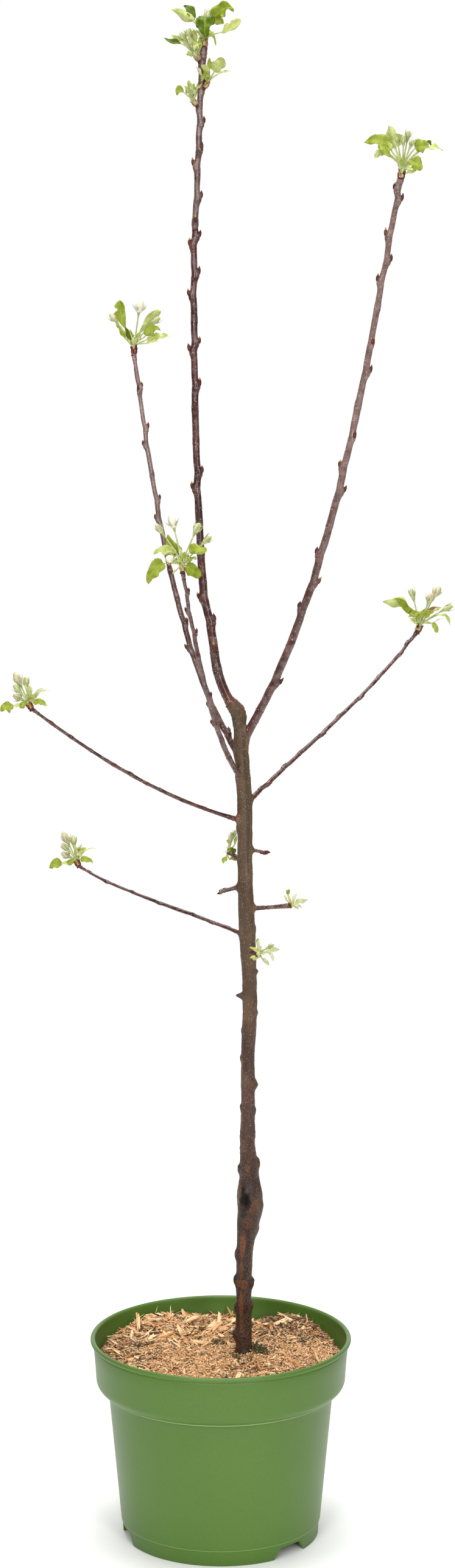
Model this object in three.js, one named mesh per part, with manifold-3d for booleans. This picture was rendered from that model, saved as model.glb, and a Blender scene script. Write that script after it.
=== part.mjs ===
// A young dwarf apple tree in a round nursery pot, in early spring.
// Millimetres, +Z up; +X is the tree's right and +Y its back as one stands in front of it.
// The pot stands on z = 0. The whole plant is centred on its own box at the end.
import * as THREE from "three";
import { mergeVertices } from "three/addons/utils/BufferGeometryUtils.js";
import Module from "manifold-3d";

const wasm = await Module();
wasm.setup();

// ---------------------------------------------------------------- driving dimensions

// Clearance between pieces that touch on the real plant.
const JOINT_GAP = 0.3;
// Where two pieces of one solid meet, slivers thinner than this are closed up.
const SLIVER = 0.02;

// Pot: a round 5-litre nursery pot, moulded in one piece.
const POT_SIDES = 36;
const POT_HEIGHT = 172.7;
const POT_WALL = 1.6;
const RIM_RADIUS = 110;
const RIM_DEPTH = 4.2;
const RIM_ROUND = 0.8;
const COLLAR_TOP_RADIUS = 107.8;
const COLLAR_FOOT_RADIUS = 105.2;
const COLLAR_FOOT_HEIGHT = 137;
const BODY_TOP_RADIUS = 95;
const BODY_TOP_HEIGHT = 128;
const BODY_FOOT_RADIUS = 84.6;
const BODY_FOOT_HEIGHT = 14;
const FOOT_RING_TOP_RADIUS = 83.6;
const FOOT_RING_RADIUS = 82.8;
const FOOT_RING_WIDTH = 3;
const FLOOR_UNDERSIDE = 11;
const FLOOR_TOP = 13.2;
const FOOT_NOTCHES = 3;
const FIRST_NOTCH_HEADING = -45;
const NOTCH_FOOT_WIDTH = 38;
const NOTCH_TOP_WIDTH = 22;
const NOTCH_HEIGHT = 10;

// Potting soil under a mulch of wood chips.
const MULCH_LEVEL = 156;
const MULCH_RINGS = [91, 74, 55, 36, 15];
const MULCH_ROUGHNESS = 1.5;
const MULCH_SEED = 11;
// Each heap or hollow: heading in degrees, distance from the middle, rise, spread.
const MULCH_HEAPS = [
  [48, 96, 9, 26],
  [128, 92, 6, 30],
  [72, 98, -5, 14],
  [-60, 60, -2, 30],
  [-150, 70, 2, 28],
];
const TRUNK_SEAT_LEVEL = 154.5;
const TRUNK_SEAT_RADIUS = 11;

// Trunk stations from the soil to the head: right, back, height, radius.
// The swelling near 290 is the graft union, the one near 530 the lower whorl of spurs.
const TRUNK_SIDES = 10;
const TRUNK_STEPS = 34;
const TRUNK_STATIONS = [
  [19.9, 8.0, 154.8, 7.7],
  [19.8, 7.8, 168.0, 6.6],
  [19.4, 7.2, 205.0, 6.5],
  [20.4, 6.6, 245.0, 7.0],
  [23.4, 6.3, 276.0, 9.4],
  [24.4, 6.0, 294.0, 10.8],
  [23.9, 5.7, 313.0, 8.2],
  [22.6, 5.4, 338.0, 6.4],
  [22.8, 4.9, 372.0, 5.85],
  [22.9, 4.3, 417.0, 5.85],
  [24.3, 3.6, 468.0, 5.9],
  [21.6, 2.8, 527.0, 6.6],
  [20.0, 1.9, 585.0, 6.0],
  [19.9, 1.3, 626.0, 6.0],
  [17.4, 0.7, 667.0, 5.6],
  [15.2, 0.3, 695.0, 5.2],
  [12.2, 0.1, 708.5, 4.8],
  [8.7, 0.0, 713.8, 4.3],
];
// Knobs on the trunk: height, heading in degrees, how far proud, half-length.
const TRUNK_KNOBS = [
  [172, 180, 3.4, 4],
  [196, 178, 1.8, 5],
  [218, -4, 2.0, 6],
  [243, 190, 1.8, 5],
  [265, 4, 1.6, 6],
  [283, -8, 2.0, 8],
  [318, 176, 1.6, 4],
  [323, 6, 2.0, 4],
  [390, 2, 1.2, 4],
  [467, 184, 4.6, 2.4],
  [487, 2, 2.0, 4],
  [706, 8, 1.6, 6],
];

// Leader stations above the head: right, back, height, radius.
const LEADER_STATIONS = [
  [11.5, 0.0, 709.5, 4.2],
  [6.0, 0.1, 717.5, 4.1],
  [-2.0, 0.7, 738.0, 3.8],
  [-6.9, 1.5, 769.0, 3.5],
  [-13.4, 2.5, 804.0, 3.3],
  [-17.2, 4.0, 860.0, 3.1],
  [-20.0, 6.2, 936.0, 2.8],
  [-21.2, 8.6, 1020.0, 2.7],
  [-21.0, 10.4, 1083.0, 2.6],
  [-17.8, 12.3, 1150.0, 2.45],
  [-16.6, 13.5, 1190.0, 2.4],
  [-14.8, 14.4, 1220.0, 2.4],
  [-13.2, 15.0, 1240.5, 3.0],
];
const LEADER_STEPS = 26;
const LIMB_SIDES = 6;

// Boughs. Each leaves the middle of the trunk at the height `foot` with the rise `leave`,
// swings round by `swing` degrees on its way along `heading`, and comes up to its tip with
// the rise `arrive`. `reach` is level, from the trunk; `top` is the height of the tip.
const BOUGHS = [
  {
    name: "bough_right_upright",
    foot: 679.5,
    heading: -37,
    reach: 154,
    top: 1138.4,
    leave: 57,
    arrive: 77,
    swing: 10,
    handles: [0.32, 0.29],
    radii: [3.5, 2.2],
    steps: 18,
  },
  {
    name: "bough_left_upright",
    foot: 666.6,
    heading: 127,
    reach: 149.7,
    top: 990,
    leave: 43,
    arrive: 75,
    swing: 8,
    handles: [0.31, 0.26],
    radii: [2.6, 1.75],
    steps: 16,
  },
  {
    name: "bough_front_left",
    foot: 649.7,
    heading: -118,
    reach: 103,
    top: 832.6,
    leave: 37,
    arrive: 71,
    swing: -6,
    handles: [0.24, 0.35],
    radii: [2.4, 1.4],
    steps: 12,
  },
  {
    name: "bough_right_spread",
    foot: 628.3,
    heading: 34,
    reach: 175.7,
    top: 758.2,
    leave: 36,
    arrive: 44,
    swing: -3,
    handles: [0.4, 0.33],
    radii: [1.9, 1.35],
    steps: 12,
  },
  {
    name: "bough_left_spread",
    foot: 614.2,
    heading: -160,
    reach: 182.5,
    top: 718.4,
    leave: 18,
    arrive: 38,
    swing: 0,
    handles: [0.35, 0.37],
    radii: [1.7, 1.2],
    steps: 12,
  },
  {
    name: "bough_lower_left",
    foot: 517.2,
    heading: 146,
    reach: 172.6,
    top: 557.2,
    leave: 15,
    arrive: 26,
    swing: 1,
    handles: [0.28, 0.22],
    radii: [1.7, 1.1],
    steps: 12,
  },
  {
    name: "spur_right",
    foot: 541,
    heading: -17,
    reach: 36.5,
    top: 545.4,
    leave: 2,
    arrive: 8,
    swing: 0,
    handles: [0.33, 0.33],
    radii: [1.75, 1.6],
    steps: 6,
  },
  {
    name: "spur_back_left",
    foot: 576,
    heading: 126,
    reach: 20,
    top: 584.2,
    leave: 35,
    arrive: 8,
    swing: 4,
    handles: [0.4, 0.3],
    radii: [1.9, 1.5],
    steps: 6,
  },
  {
    name: "spur_front_right",
    foot: 503,
    heading: -67,
    reach: 17.5,
    top: 505.4,
    leave: 12,
    arrive: 4,
    swing: 0,
    handles: [0.33, 0.33],
    radii: [2.1, 1.7],
    steps: 4,
  },
  {
    name: "stub_left",
    foot: 560.2,
    heading: 180,
    reach: 21.6,
    top: 554.8,
    leave: -12,
    arrive: -14,
    swing: 0,
    handles: [0.33, 0.33],
    radii: [1.8, 1.2],
    steps: 4,
  },
  {
    name: "stub_right",
    foot: 591.3,
    heading: -9,
    reach: 19.2,
    top: 588.4,
    leave: -6,
    arrive: -10,
    swing: 0,
    handles: [0.33, 0.33],
    radii: [1.5, 0.9],
    steps: 4,
  },
];
// A bough swells where it leaves the trunk, and under the cluster at its tip.
const FOOT_SWELL = 0.45;
const FOOT_SWELL_LENGTH = 9;
const TIP_SWELL = 0.3;
const TIP_SWELL_LENGTH = 6;
const COLLAR_STEP = 1.25;
const COLLAR_PROUD = 2.6;

// Leaf clusters. A cluster grows from one short stem on its bough's tip, or on the leader's
// side at the height `at`. `space` is the radius of the ball round its foot that it keeps to.
// leaf(right, up, back, startRight, startUp, width, show, arch): where the tip and the start
// of the blade lie from the cluster's foot, the blade's width, how far its upper face turns
// from up (0) to the front (90) or to the back (-90), and how far the rib bows above its
// chord. bud(right, up, back, length, width) ends at its top.
// `fill` more leaves come by the seeded rule at the back, at two fifths of a turn each.
// A blade starts at this share of how far back its tip lies.
const STALK_SHARE_BACK = 0.45;
const SPREAD_LEAVES = [
  leaf(-25, -1, -5, -14, 2, 8, 55, 1.5),
  leaf(-15, 2, -5, -6, 3.5, 3, 40, 0.5),
  leaf(-8.5, 1, -4, -3, 5.5, 5, 60, 1),
  leaf(12.5, 3, -6, 1.5, 6, 5.5, 60, 1.5),
  leaf(14, 15, 4, 3, 10.5, 2.6, 20, 1),
  leaf(-4.5, 8.5, 4, 1.5, 10.5, 3, -70, 1.5),
];
const SPREAD_BUDS = [
  bud(-13.5, 29.5, 0, 11.5, 6),
  bud(-5, 25.5, 4, 9, 4.8),
  bud(-14, 20, -4, 9, 4.8),
  bud(-15, 10.5, 3, 8, 5.4),
];
const CLUSTERS = [
  {
    name: "cluster_leader_top",
    on: "leader",
    lean: [60, 86],
    stem: 9.5,
    radius: 2.4,
    space: 48,
    seed: 21,
    fill: 3,
    leaves: [
      leaf(24, 30.5, -4, 8.5, 23, 12, 75, 3),
      leaf(1, 7, -17, 1, 23.5, 13.5, 70, 1),
      leaf(29, 21.5, -6, 12, 12, 5, 60, -1),
      leaf(11, 2, -9, -1.5, 5, 5, 30, 5),
      leaf(-25.5, 29.5, 3, -8, 20.5, 7.5, -80, 0.5),
      leaf(-16.5, 33.5, 7, -7.5, 22, 7, 60, 1.5),
      leaf(15, 18.5, 5, 5, 21, 5, 60, 1.5),
      leaf(-8, -2.5, -10, -4, 3, 4.5, 60, 1),
    ],
    buds: [
      bud(3.5, 29, 2, 9, 4.4),
      bud(6.5, 30, 4, 8.5, 4),
      bud(8.5, 26.5, 7, 7, 3.6),
      bud(0.5, 26, 5, 7, 3.6),
    ],
  },
  {
    name: "cluster_leader_left",
    on: "leader",
    at: 1230,
    lean: [-170, 58],
    stem: 9,
    radius: 1.7,
    space: 40,
    seed: 22,
    fill: 1,
    leaves: [
      leaf(-27.5, 18.5, -4, -13.5, 13.5, 4.5, 60, -1),
      leaf(-23, 20.5, 5, -12.5, 15.5, 3.5, -70, 0),
      leaf(-4, 25, -5, -3.5, 14.5, 4, -75, 0.5),
      leaf(-9, 19, -7, -5.5, 11.5, 4.5, -75, 1),
      leaf(-10.5, 5, -6, -6, 3.5, 4.5, -60, 1),
      leaf(-15, 19.5, 3, -12, 13, 2.6, 60, 0),
    ],
    buds: [
      bud(-10, 25, -2, 8, 4),
      bud(-8, 25.5, 3, 8, 3.6),
      bud(-15.5, 22.5, 1, 8, 4.2),
    ],
  },
  {
    name: "cluster_leader_right",
    on: "leader",
    at: 1209,
    lean: [-5, 58],
    stem: 8,
    radius: 1.7,
    space: 36,
    seed: 23,
    fill: 1,
    leaves: [
      leaf(15.5, 23, 3, 8.5, 12.5, 9.5, -75, 0.5),
      leaf(21.5, 13, -4, 11, 10.5, 3, 30, 0.5),
      leaf(4.5, 23.5, 5, 4.5, 14, 4, 70, 0),
      leaf(-2, 17.5, -7, 3.5, 12, 5.5, 70, 0.5),
      leaf(-2, 5, -8, 5, 8, 4.5, 50, 3),
    ],
    buds: [],
  },
  {
    name: "cluster_leader_left_lower",
    on: "leader",
    at: 1195,
    lean: [175, 52],
    stem: 8,
    radius: 1.6,
    space: 32,
    seed: 24,
    fill: 1,
    leaves: [
      leaf(-16, 8, -4, -10.5, 10.5, 6, 55, 2.5),
      leaf(-10, 15, 5, -6.5, 9.5, 4.5, -70, 0.5),
      leaf(-6.5, 20, -2, -6, 14, 3.2, 70, 0.5),
      leaf(-2.5, 17.5, -3, -3, 10, 4, -70, 0.5),
      leaf(4, 17.5, -7, -0.5, 12, 2.2, 60, 0),
    ],
    buds: [bud(-4, 17, 3, 6.5, 3.6)],
  },
  {
    name: "cluster_right_upright",
    on: "bough_right_upright",
    lean: [-20, 80],
    stem: 11,
    radius: 2.1,
    space: 50,
    seed: 25,
    fill: 3,
    leaves: [
      leaf(-29, 28.5, 4, -6.5, 26.5, 7.5, 65, 2.5),
      leaf(-9, 40.5, 7, -4, 28, 9.5, -85, 0.5),
      leaf(-19.5, 23.5, -7, -6, 14, 6, 65, 0.5),
      leaf(-11.5, 29, -3, -7.5, 21.5, 4, 70, 0.5),
      leaf(-20, 16, -2, -12.5, 21.5, 6, -70, 1),
      leaf(21, 25, -4, 10.5, 23.5, 10.5, 75, 1),
      leaf(33, 23, 4, 20, 24, 3, 30, 0.5),
      leaf(24, 25.5, 8, 19.5, 27, 4, 60, 1.5),
      leaf(14.5, 6.5, -9, 6.5, 14.5, 9.5, 70, 1.5),
      leaf(12, 6.5, -2, 4.5, 4, 3.3, 60, 0.5),
    ],
    buds: [
      bud(6, 37, 0, 7.5, 4.2),
      bud(2, 34, -4, 7, 4.2),
      bud(9.5, 30.5, -5, 7, 3.6),
      bud(-3, 32, 5, 5, 3),
    ],
  },
  {
    name: "cluster_left_upright",
    on: "bough_left_upright",
    lean: [80, 86],
    stem: 9.4,
    radius: 1.9,
    space: 54,
    seed: 26,
    fill: 3,
    leaves: [
      leaf(-12, 44.5, 5, -7.5, 23.5, 8.5, 80, -1.5),
      leaf(-15.5, 26, 7, -7, 16.5, 2, 60, 0),
      leaf(-7, 23.5, -6, -3, 10.5, 2.8, 70, 0.5),
      leaf(22, 36, 6, 5, 20.5, 5.5, -75, 1),
      leaf(22, 20, -6, 12.5, 16.5, 5, 60, 3),
      leaf(29.5, 14.5, 4, 13.5, 13.5, 3.8, 50, 1),
      leaf(21, 11, -7, 12.5, 10, 2.5, 40, 1),
    ],
    buds: [
      bud(6, 45.5, -2, 12, 8),
      bud(-20, 34, -4, 9.5, 5),
      bud(21.5, 31, -1, 9, 5.2),
    ],
  },
  {
    name: "cluster_front_left",
    on: "bough_front_left",
    lean: [-90, 84],
    stem: 9,
    radius: 1.8,
    space: 54,
    seed: 27,
    fill: 2,
    leaves: [
      leaf(-27, -9, -9, -15, 7, 9.5, 70, 3),
      leaf(-23.5, 17, -3, -7, 16, 4.5, 50, 2.5),
      leaf(-11.5, 28, 4, -3.5, 14.5, 6.5, 75, 0),
      leaf(-13.5, 12.5, 8, -6, 14, 4, 60, 1),
      leaf(19, 17.5, -8, 5, 15.5, 8.5, 70, 2),
      leaf(12.5, -4.5, -8, 2, 4.5, 9.5, 70, 2),
      leaf(-8, -1, -7, -4, 2, 2, 40, 0.5),
    ],
    buds: [
      bud(-9.5, 45.5, 0, 12.5, 6.6),
      bud(-21, 38, -4, 9.5, 4.8),
      bud(13.5, 38, 3, 9.5, 5.8),
      bud(22.5, 28, 1, 8.5, 5),
      bud(-13, 11.5, -9, 7, 6),
    ],
  },
  {
    name: "cluster_right_spread",
    on: "bough_right_spread",
    lean: [20, 66],
    stem: 11,
    radius: 2,
    space: 52,
    seed: 28,
    fill: 2,
    leaves: [
      leaf(-28.5, 25, 6, -8, 23, 7.5, -75, 1),
      leaf(-19.5, 28.5, -4, -5, 17.5, 5, 65, 1),
      leaf(-7, 15, -8, 1, 17, 4, 50, 1),
      leaf(13.5, 18.5, -8, 6, 13, 6, 70, 1),
      leaf(21, 20.5, 4, 13.5, 17.5, 2.4, 50, 0),
      leaf(27.5, 5, 3, 17.5, 14.5, 3.2, 40, 4),
      leaf(22, 12.5, -5, 12, 7.5, 2.2, 20, 0.5),
      leaf(16.5, 0.5, -8, 12.5, 7.5, 4.5, 70, 1),
    ],
    buds: [
      bud(-5.5, 36.5, 2, 9.5, 4.6),
      bud(12, 33.5, -4, 9.5, 6),
      bud(19, 38, 4, 10, 6.6),
      bud(29.5, 22.5, -1, 9, 5),
    ],
  },
  {
    name: "cluster_left_spread",
    on: "bough_left_spread",
    lean: [-170, 62],
    stem: 8,
    radius: 1.9,
    space: 40,
    seed: 29,
    fill: 2,
    leaves: SPREAD_LEAVES,
    buds: SPREAD_BUDS,
  },
  {
    name: "cluster_lower_left",
    on: "bough_lower_left",
    lean: [170, 62],
    stem: 8,
    radius: 1.9,
    space: 40,
    seed: 30,
    fill: 2,
    leaves: SPREAD_LEAVES,
    buds: SPREAD_BUDS,
  },
  {
    name: "cluster_spur_right",
    on: "spur_right",
    lean: [-15, 10],
    stem: 4,
    radius: 1.6,
    space: 24,
    seed: 31,
    fill: 2,
    leaves: [
      leaf(16, 6, -3, 5, 2, 4, 60, 0.5),
      leaf(7, 9.5, 2, 3, 3, 2.6, 70, 0.5),
      leaf(-4, 8, 4, -0.5, 3, 1.8, 70, 0),
      leaf(11, -1, -4, 5, 0.5, 3, 50, 0.5),
      leaf(8, -3.5, 3, 4, -0.5, 2.6, 50, 0.5),
    ],
    buds: [],
  },
  {
    name: "cluster_spur_back_left",
    on: "spur_back_left",
    lean: [150, 35],
    stem: 4,
    radius: 1.5,
    space: 24,
    seed: 32,
    fill: 1,
    leaves: [
      leaf(-3, 3.5, -6, 4, 2, 4.6, 60, 1),
      leaf(-6.5, -8, -3, -3.5, -2.5, 4, 60, 0.5),
      leaf(4.5, -5.5, -5, -1.5, -4.5, 3, 50, 1),
      leaf(5.5, 14.5, 5, 3, 6, 2.6, 70, 0.5),
    ],
    buds: [bud(1, 18, 0, 9, 3.4), bud(4, 19, 4, 8, 3.2)],
  },
  {
    name: "cluster_spur_front_right",
    on: "spur_front_right",
    lean: [-60, 22],
    stem: 4.5,
    radius: 1.7,
    space: 26,
    seed: 33,
    fill: 1,
    leaves: [
      leaf(-5.5, 7.5, -5, 0, 3, 3, 60, 0.5),
      leaf(-5.5, -1.5, -6, 0, -4, 4, 60, 1),
      leaf(1.5, 12.5, 1, 1, 5, 2.8, 70, 0),
      leaf(4, 8, -2, 2.5, 3.5, 2.6, 60, 0.3),
      leaf(19, 4.5, -3, 9, 3, 4, 60, 0.5),
      leaf(13.5, -5, -4, 10.5, 2, 2.6, 60, 1),
      leaf(10.5, -10, 3, 4.5, -4, 3.6, 60, 0.5),
    ],
    buds: [bud(14.5, 7.5, 2, 6, 3.4)],
  },
];

// Leaf blades: rings from the tip to the start, as the share of the blade and of the
// half-width. The stalk is a thin spindle from the cluster's stem into the blade's start.
const LEAF_RINGS = [
  [0.84, 0.62],
  [0.5, 1],
  [0.16, 0.72],
];
const SLIM_LEAF_RINGS = [
  [0.68, 0.85],
  [0.26, 0.85],
];
const SLIM_LEAF_WIDTH = 5.6;
const LEAF_THICK = 0.6;
const LEAF_FOLD = 0.22;
const STALK_RADIUS = 0.55;
const FILL_TURN = 144;
const FILL_START = 60;
const FILL_SECTOR = 60;
const FILL_REACH = [15, 23];
const FILL_RISE = [5, 40];
const FILL_SLENDER = [0.22, 0.3];
// Blossom buds: rings from the top to the calyx, as shares of the length and the radius.
const BUD_SIDES = 4;
const BUD_RINGS = [
  [0.78, 0.85],
  [0.3, 1],
];

const FINISH = {
  pot: { color: 0x5f8b41, roughness: 0.45, metalness: 0 },
  mulch: { color: 0x7d5d42, roughness: 0.95, metalness: 0 },
  bark: { color: 0x5b4f3c, roughness: 0.8, metalness: 0 },
  shoot: { color: 0x55393a, roughness: 0.55, metalness: 0 },
  leaf: { color: 0x8fae3f, roughness: 0.6, metalness: 0 },
};

// ---------------------------------------------------------------- small helpers

const UP = new THREE.Vector3(0, 0, 1);
const FRONT = new THREE.Vector3(0, -1, 0);

// A leaf's row: its tip and the start of its blade from the cluster's foot, its width, how
// its upper face turns, and its bow.
function leaf(right, up, back, startRight, startUp, width, show, arch) {
  const start = [startRight, STALK_SHARE_BACK * back, startUp];
  return { tip: [right, back, up], start, width, show, arch };
}

// A blossom bud's row: top from the cluster's foot, length and width.
function bud(right, up, back, length, width) {
  return { tip: [right, back, up], length, width };
}

// A repeatable source of numbers from 0 to 1.
function seededNumbers(seed) {
  let state = seed >>> 0;
  return () => {
    state = (state + 0x6d2b79f5) >>> 0;
    let mixed = Math.imul(state ^ (state >>> 15), 1 | state);
    mixed = (mixed + Math.imul(mixed ^ (mixed >>> 7), 61 | mixed)) ^ mixed;
    return ((mixed ^ (mixed >>> 14)) >>> 0) / 4294967296;
  };
}

// The unit vector that looks along a heading and a rise in degrees.
function direction(heading, rise) {
  const level = Math.cos(THREE.MathUtils.degToRad(rise));
  return new THREE.Vector3(
    level * Math.cos(THREE.MathUtils.degToRad(heading)),
    level * Math.sin(THREE.MathUtils.degToRad(heading)),
    Math.sin(THREE.MathUtils.degToRad(rise)),
  );
}

// A closed geometry as a solid, turned right side out.
function solidFrom(geometry) {
  const bare = geometry.clone();
  bare.deleteAttribute("normal");
  bare.deleteAttribute("uv");
  const merged = mergeVertices(bare, 1e-4);
  const vertProperties = new Float32Array(merged.attributes.position.array);
  const triVerts = new Uint32Array(merged.index.array);
  const solid = new wasm.Manifold(
    new wasm.Mesh({ numProp: 3, vertProperties, triVerts }),
  );
  if (solid.volume() >= 0) {
    return solid;
  }
  for (let i = 0; i < triVerts.length; i += 3) {
    [triVerts[i + 1], triVerts[i + 2]] = [triVerts[i + 2], triVerts[i + 1]];
  }
  return new wasm.Manifold(
    new wasm.Mesh({ numProp: 3, vertProperties, triVerts }),
  );
}

// The largest body of a solid: scraps that a cut leaves loose are dropped.
function mainBody(solid) {
  const bodies = solid.asOriginal().simplify(SLIVER).decompose();
  bodies.sort((a, b) => b.volume() - a.volume());
  return bodies[0];
}

// A solid as a named mesh with its own finish.
function meshFrom(name, solid, finish) {
  const made = solid.getMesh();
  const position = new Float32Array(made.numVert * 3);
  for (let i = 0; i < made.numVert; i += 1) {
    const start = i * made.numProp;
    position.set(made.vertProperties.subarray(start, start + 3), i * 3);
  }
  const geometry = new THREE.BufferGeometry();
  geometry.setAttribute("position", new THREE.BufferAttribute(position, 3));
  geometry.setIndex(new THREE.BufferAttribute(new Uint32Array(made.triVerts), 1));
  geometry.computeVertexNormals();
  const mesh = new THREE.Mesh(geometry, new THREE.MeshStandardMaterial(finish));
  mesh.name = name;
  return mesh;
}

// ---------------------------------------------------------------- limbs

// Points and radii along a limb, evenly by parameter, with a frame at each that
// doesn't twist from one to the next.
function limbRings(pointAt, radiusAt, steps) {
  const rings = [];
  for (let i = 0; i <= steps; i += 1) {
    rings.push({ centre: pointAt(i / steps), radius: radiusAt(i / steps) });
  }
  let side = new THREE.Vector3(1, 0, 0);
  rings.forEach((ring, i) => {
    const before = rings[Math.max(i - 1, 0)].centre;
    const after = rings[Math.min(i + 1, steps)].centre;
    ring.along = after.clone().sub(before).normalize();
    if (Math.abs(ring.along.dot(side)) > 0.95) {
      side = new THREE.Vector3(0, 1, 0);
    }
    side = side.clone().addScaledVector(ring.along, -ring.along.dot(side)).normalize();
    ring.side = side;
    ring.depth = side.clone().cross(ring.along);
  });
  return rings;
}

// A closed round limb through its rings, each way fatter and longer by `grow`.
function limbSolid(rings, sides, grow) {
  const steps = rings.length - 1;
  const geometry = new THREE.CylinderGeometry(1, 1, 1, sides, steps);
  const position = geometry.getAttribute("position");
  for (let i = 0; i < position.count; i += 1) {
    const share = position.getY(i) + 0.5;
    const at = Math.round(share * steps);
    const ring = rings[at];
    const longer = at === 0 ? -grow : at === steps ? grow : 0;
    const radius = ring.radius + grow;
    const placed = ring.centre
      .clone()
      .addScaledVector(ring.side, position.getX(i) * radius)
      .addScaledVector(ring.depth, position.getZ(i) * radius)
      .addScaledVector(ring.along, longer);
    position.setXYZ(i, placed.x, placed.y, placed.z);
  }
  return solidFrom(geometry);
}

// Smooth centre line and radius through a list of stations.
function stationLimb(stations, steps) {
  const line = new THREE.CatmullRomCurve3(
    stations.map(([x, y, z]) => new THREE.Vector3(x, y, z)),
    false,
    "centripetal",
  );
  const radiusAt = (share) => {
    const place = share * (stations.length - 1);
    const low = Math.min(Math.floor(place), stations.length - 2);
    const part = THREE.MathUtils.smoothstep(place - low, 0, 1);
    return THREE.MathUtils.lerp(stations[low][3], stations[low + 1][3], part);
  };
  const pointAt = (share) => line.getPoint(share);
  return { pointAt, radiusAt, steps };
}

const trunk = stationLimb(TRUNK_STATIONS, TRUNK_STEPS);
const leader = stationLimb(LEADER_STATIONS, LEADER_STEPS);

// The share of a station limb that lies at a height, found by halving.
function shareAtHeight(limb, height) {
  let low = 0;
  let high = 1;
  for (let i = 0; i < 30; i += 1) {
    const middle = (low + high) / 2;
    if (limb.pointAt(middle).z < height) {
      low = middle;
    } else {
      high = middle;
    }
  }
  return (low + high) / 2;
}

// A bough as one Bezier limb from the middle of the trunk.
function boughLimb(size) {
  const foot = trunk.pointAt(shareAtHeight(trunk, size.foot));
  const tip = foot.clone().addScaledVector(direction(size.heading, 0), size.reach);
  tip.z = size.top;
  const chord = foot.distanceTo(tip);
  const leave = direction(size.heading + size.swing, size.leave);
  const arrive = direction(size.heading - size.swing * 0.4, size.arrive);
  const line = new THREE.CubicBezierCurve3(
    foot,
    foot.clone().addScaledVector(leave, size.handles[0] * chord),
    tip.clone().addScaledVector(arrive, -size.handles[1] * chord),
    tip,
  );
  const [thick, thin] = size.radii;
  const radiusAt = (share) => {
    const fromFoot = share * chord;
    const fromTip = (1 - share) * chord;
    const swell = FOOT_SWELL * Math.exp(-((fromFoot / FOOT_SWELL_LENGTH) ** 2));
    const end = TIP_SWELL * Math.exp(-((fromTip / TIP_SWELL_LENGTH) ** 2));
    return THREE.MathUtils.lerp(thick, thin, share) * (1 + swell + end);
  };
  const pointAt = (share) => line.getPoint(share);
  return { pointAt, radiusAt, steps: size.steps, chord };
}

// The collar of bark that the trunk carries round the foot of a bough.
function collarSolid(size, limb, grow) {
  const around = trunk.radiusAt(shareAtHeight(trunk, size.foot));
  const slant = Math.cos(THREE.MathUtils.degToRad(size.leave));
  const length = around / slant + COLLAR_PROUD;
  const end = Math.min(length / limb.chord, 0.6);
  const rings = limbRings(
    (share) => limb.pointAt(share * end),
    (share) => THREE.MathUtils.lerp(COLLAR_STEP + 0.3, COLLAR_STEP, share) * size.radii[0],
    2,
  );
  return limbSolid(rings, LIMB_SIDES, grow);
}

// A rounded knob that stands out of the trunk.
function knobSolid([height, heading, proud, half]) {
  const share = shareAtHeight(trunk, height);
  const out = direction(heading, 0);
  const reach = trunk.radiusAt(share);
  const geometry = new THREE.SphereGeometry(1, 5, 4);
  geometry.rotateX(Math.PI / 2);
  geometry.scale(half + proud, Math.max(half * 0.8, 1.6), half);
  geometry.rotateZ(THREE.MathUtils.degToRad(heading));
  const centre = trunk.pointAt(share).addScaledVector(out, reach - half);
  geometry.translate(centre.x, centre.y, centre.z);
  return solidFrom(geometry);
}

const boughLimbs = new Map(BOUGHS.map((size) => [size.name, boughLimb(size)]));

function trunkSolid(grow) {
  const rings = limbRings(trunk.pointAt, trunk.radiusAt, trunk.steps);
  rings[0].along.copy(UP);
  rings[0].side.set(1, 0, 0);
  rings[0].depth.set(0, -1, 0);
  let solid = limbSolid(rings, TRUNK_SIDES, grow);
  for (const size of BOUGHS) {
    solid = solid.add(collarSolid(size, boughLimbs.get(size.name), grow));
  }
  for (const knob of TRUNK_KNOBS) {
    solid = solid.add(knobSolid(knob));
  }
  return solid;
}

const trunkBody = trunkSolid(0);
const trunkGrown = trunkSolid(JOINT_GAP);

const leaderRings = limbRings(leader.pointAt, leader.radiusAt, leader.steps);
const limbBodies = new Map();
limbBodies.set(
  "leader",
  mainBody(limbSolid(leaderRings, LIMB_SIDES, 0).subtract(trunkGrown)),
);
let limbsGrown = trunkGrown.add(limbSolid(leaderRings, LIMB_SIDES, JOINT_GAP));
for (const size of BOUGHS) {
  const limb = boughLimbs.get(size.name);
  const rings = limbRings(limb.pointAt, limb.radiusAt, limb.steps);
  const solid = limbSolid(rings, LIMB_SIDES, 0);
  limbBodies.set(size.name, mainBody(solid.subtract(trunkGrown)));
  limbsGrown = limbsGrown.add(limbSolid(rings, LIMB_SIDES, JOINT_GAP));
}

// ---------------------------------------------------------------- leaf clusters

// A closed spindle between two ends: its rings run from the far end to the near one.
function spindleSolid(far, rings, near, sides, upper, fold) {
  const rows = rings.length + 1;
  const geometry = new THREE.SphereGeometry(1, sides, rows);
  const position = geometry.getAttribute("position");
  for (let i = 0; i < position.count; i += 1) {
    const row = Math.floor(i / (sides + 1));
    const turn = ((i % (sides + 1)) / sides) * Math.PI * 2;
    if (row === 0 || row === rows) {
      const end = row === 0 ? far : near;
      position.setXYZ(i, end.x, end.y, end.z);
      continue;
    }
    const { place, along, wide, thick } = rings[row - 1];
    const face = upper.clone().addScaledVector(along, -along.dot(upper)).normalize();
    const side = along.clone().cross(face);
    const across = -Math.cos(turn);
    const placed = place
      .clone()
      .addScaledVector(side, across * wide)
      .addScaledVector(face, Math.sin(turn) * thick + Math.abs(across) * wide * fold);
    position.setXYZ(i, placed.x, placed.y, placed.z);
  }
  return solidFrom(geometry);
}

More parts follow.
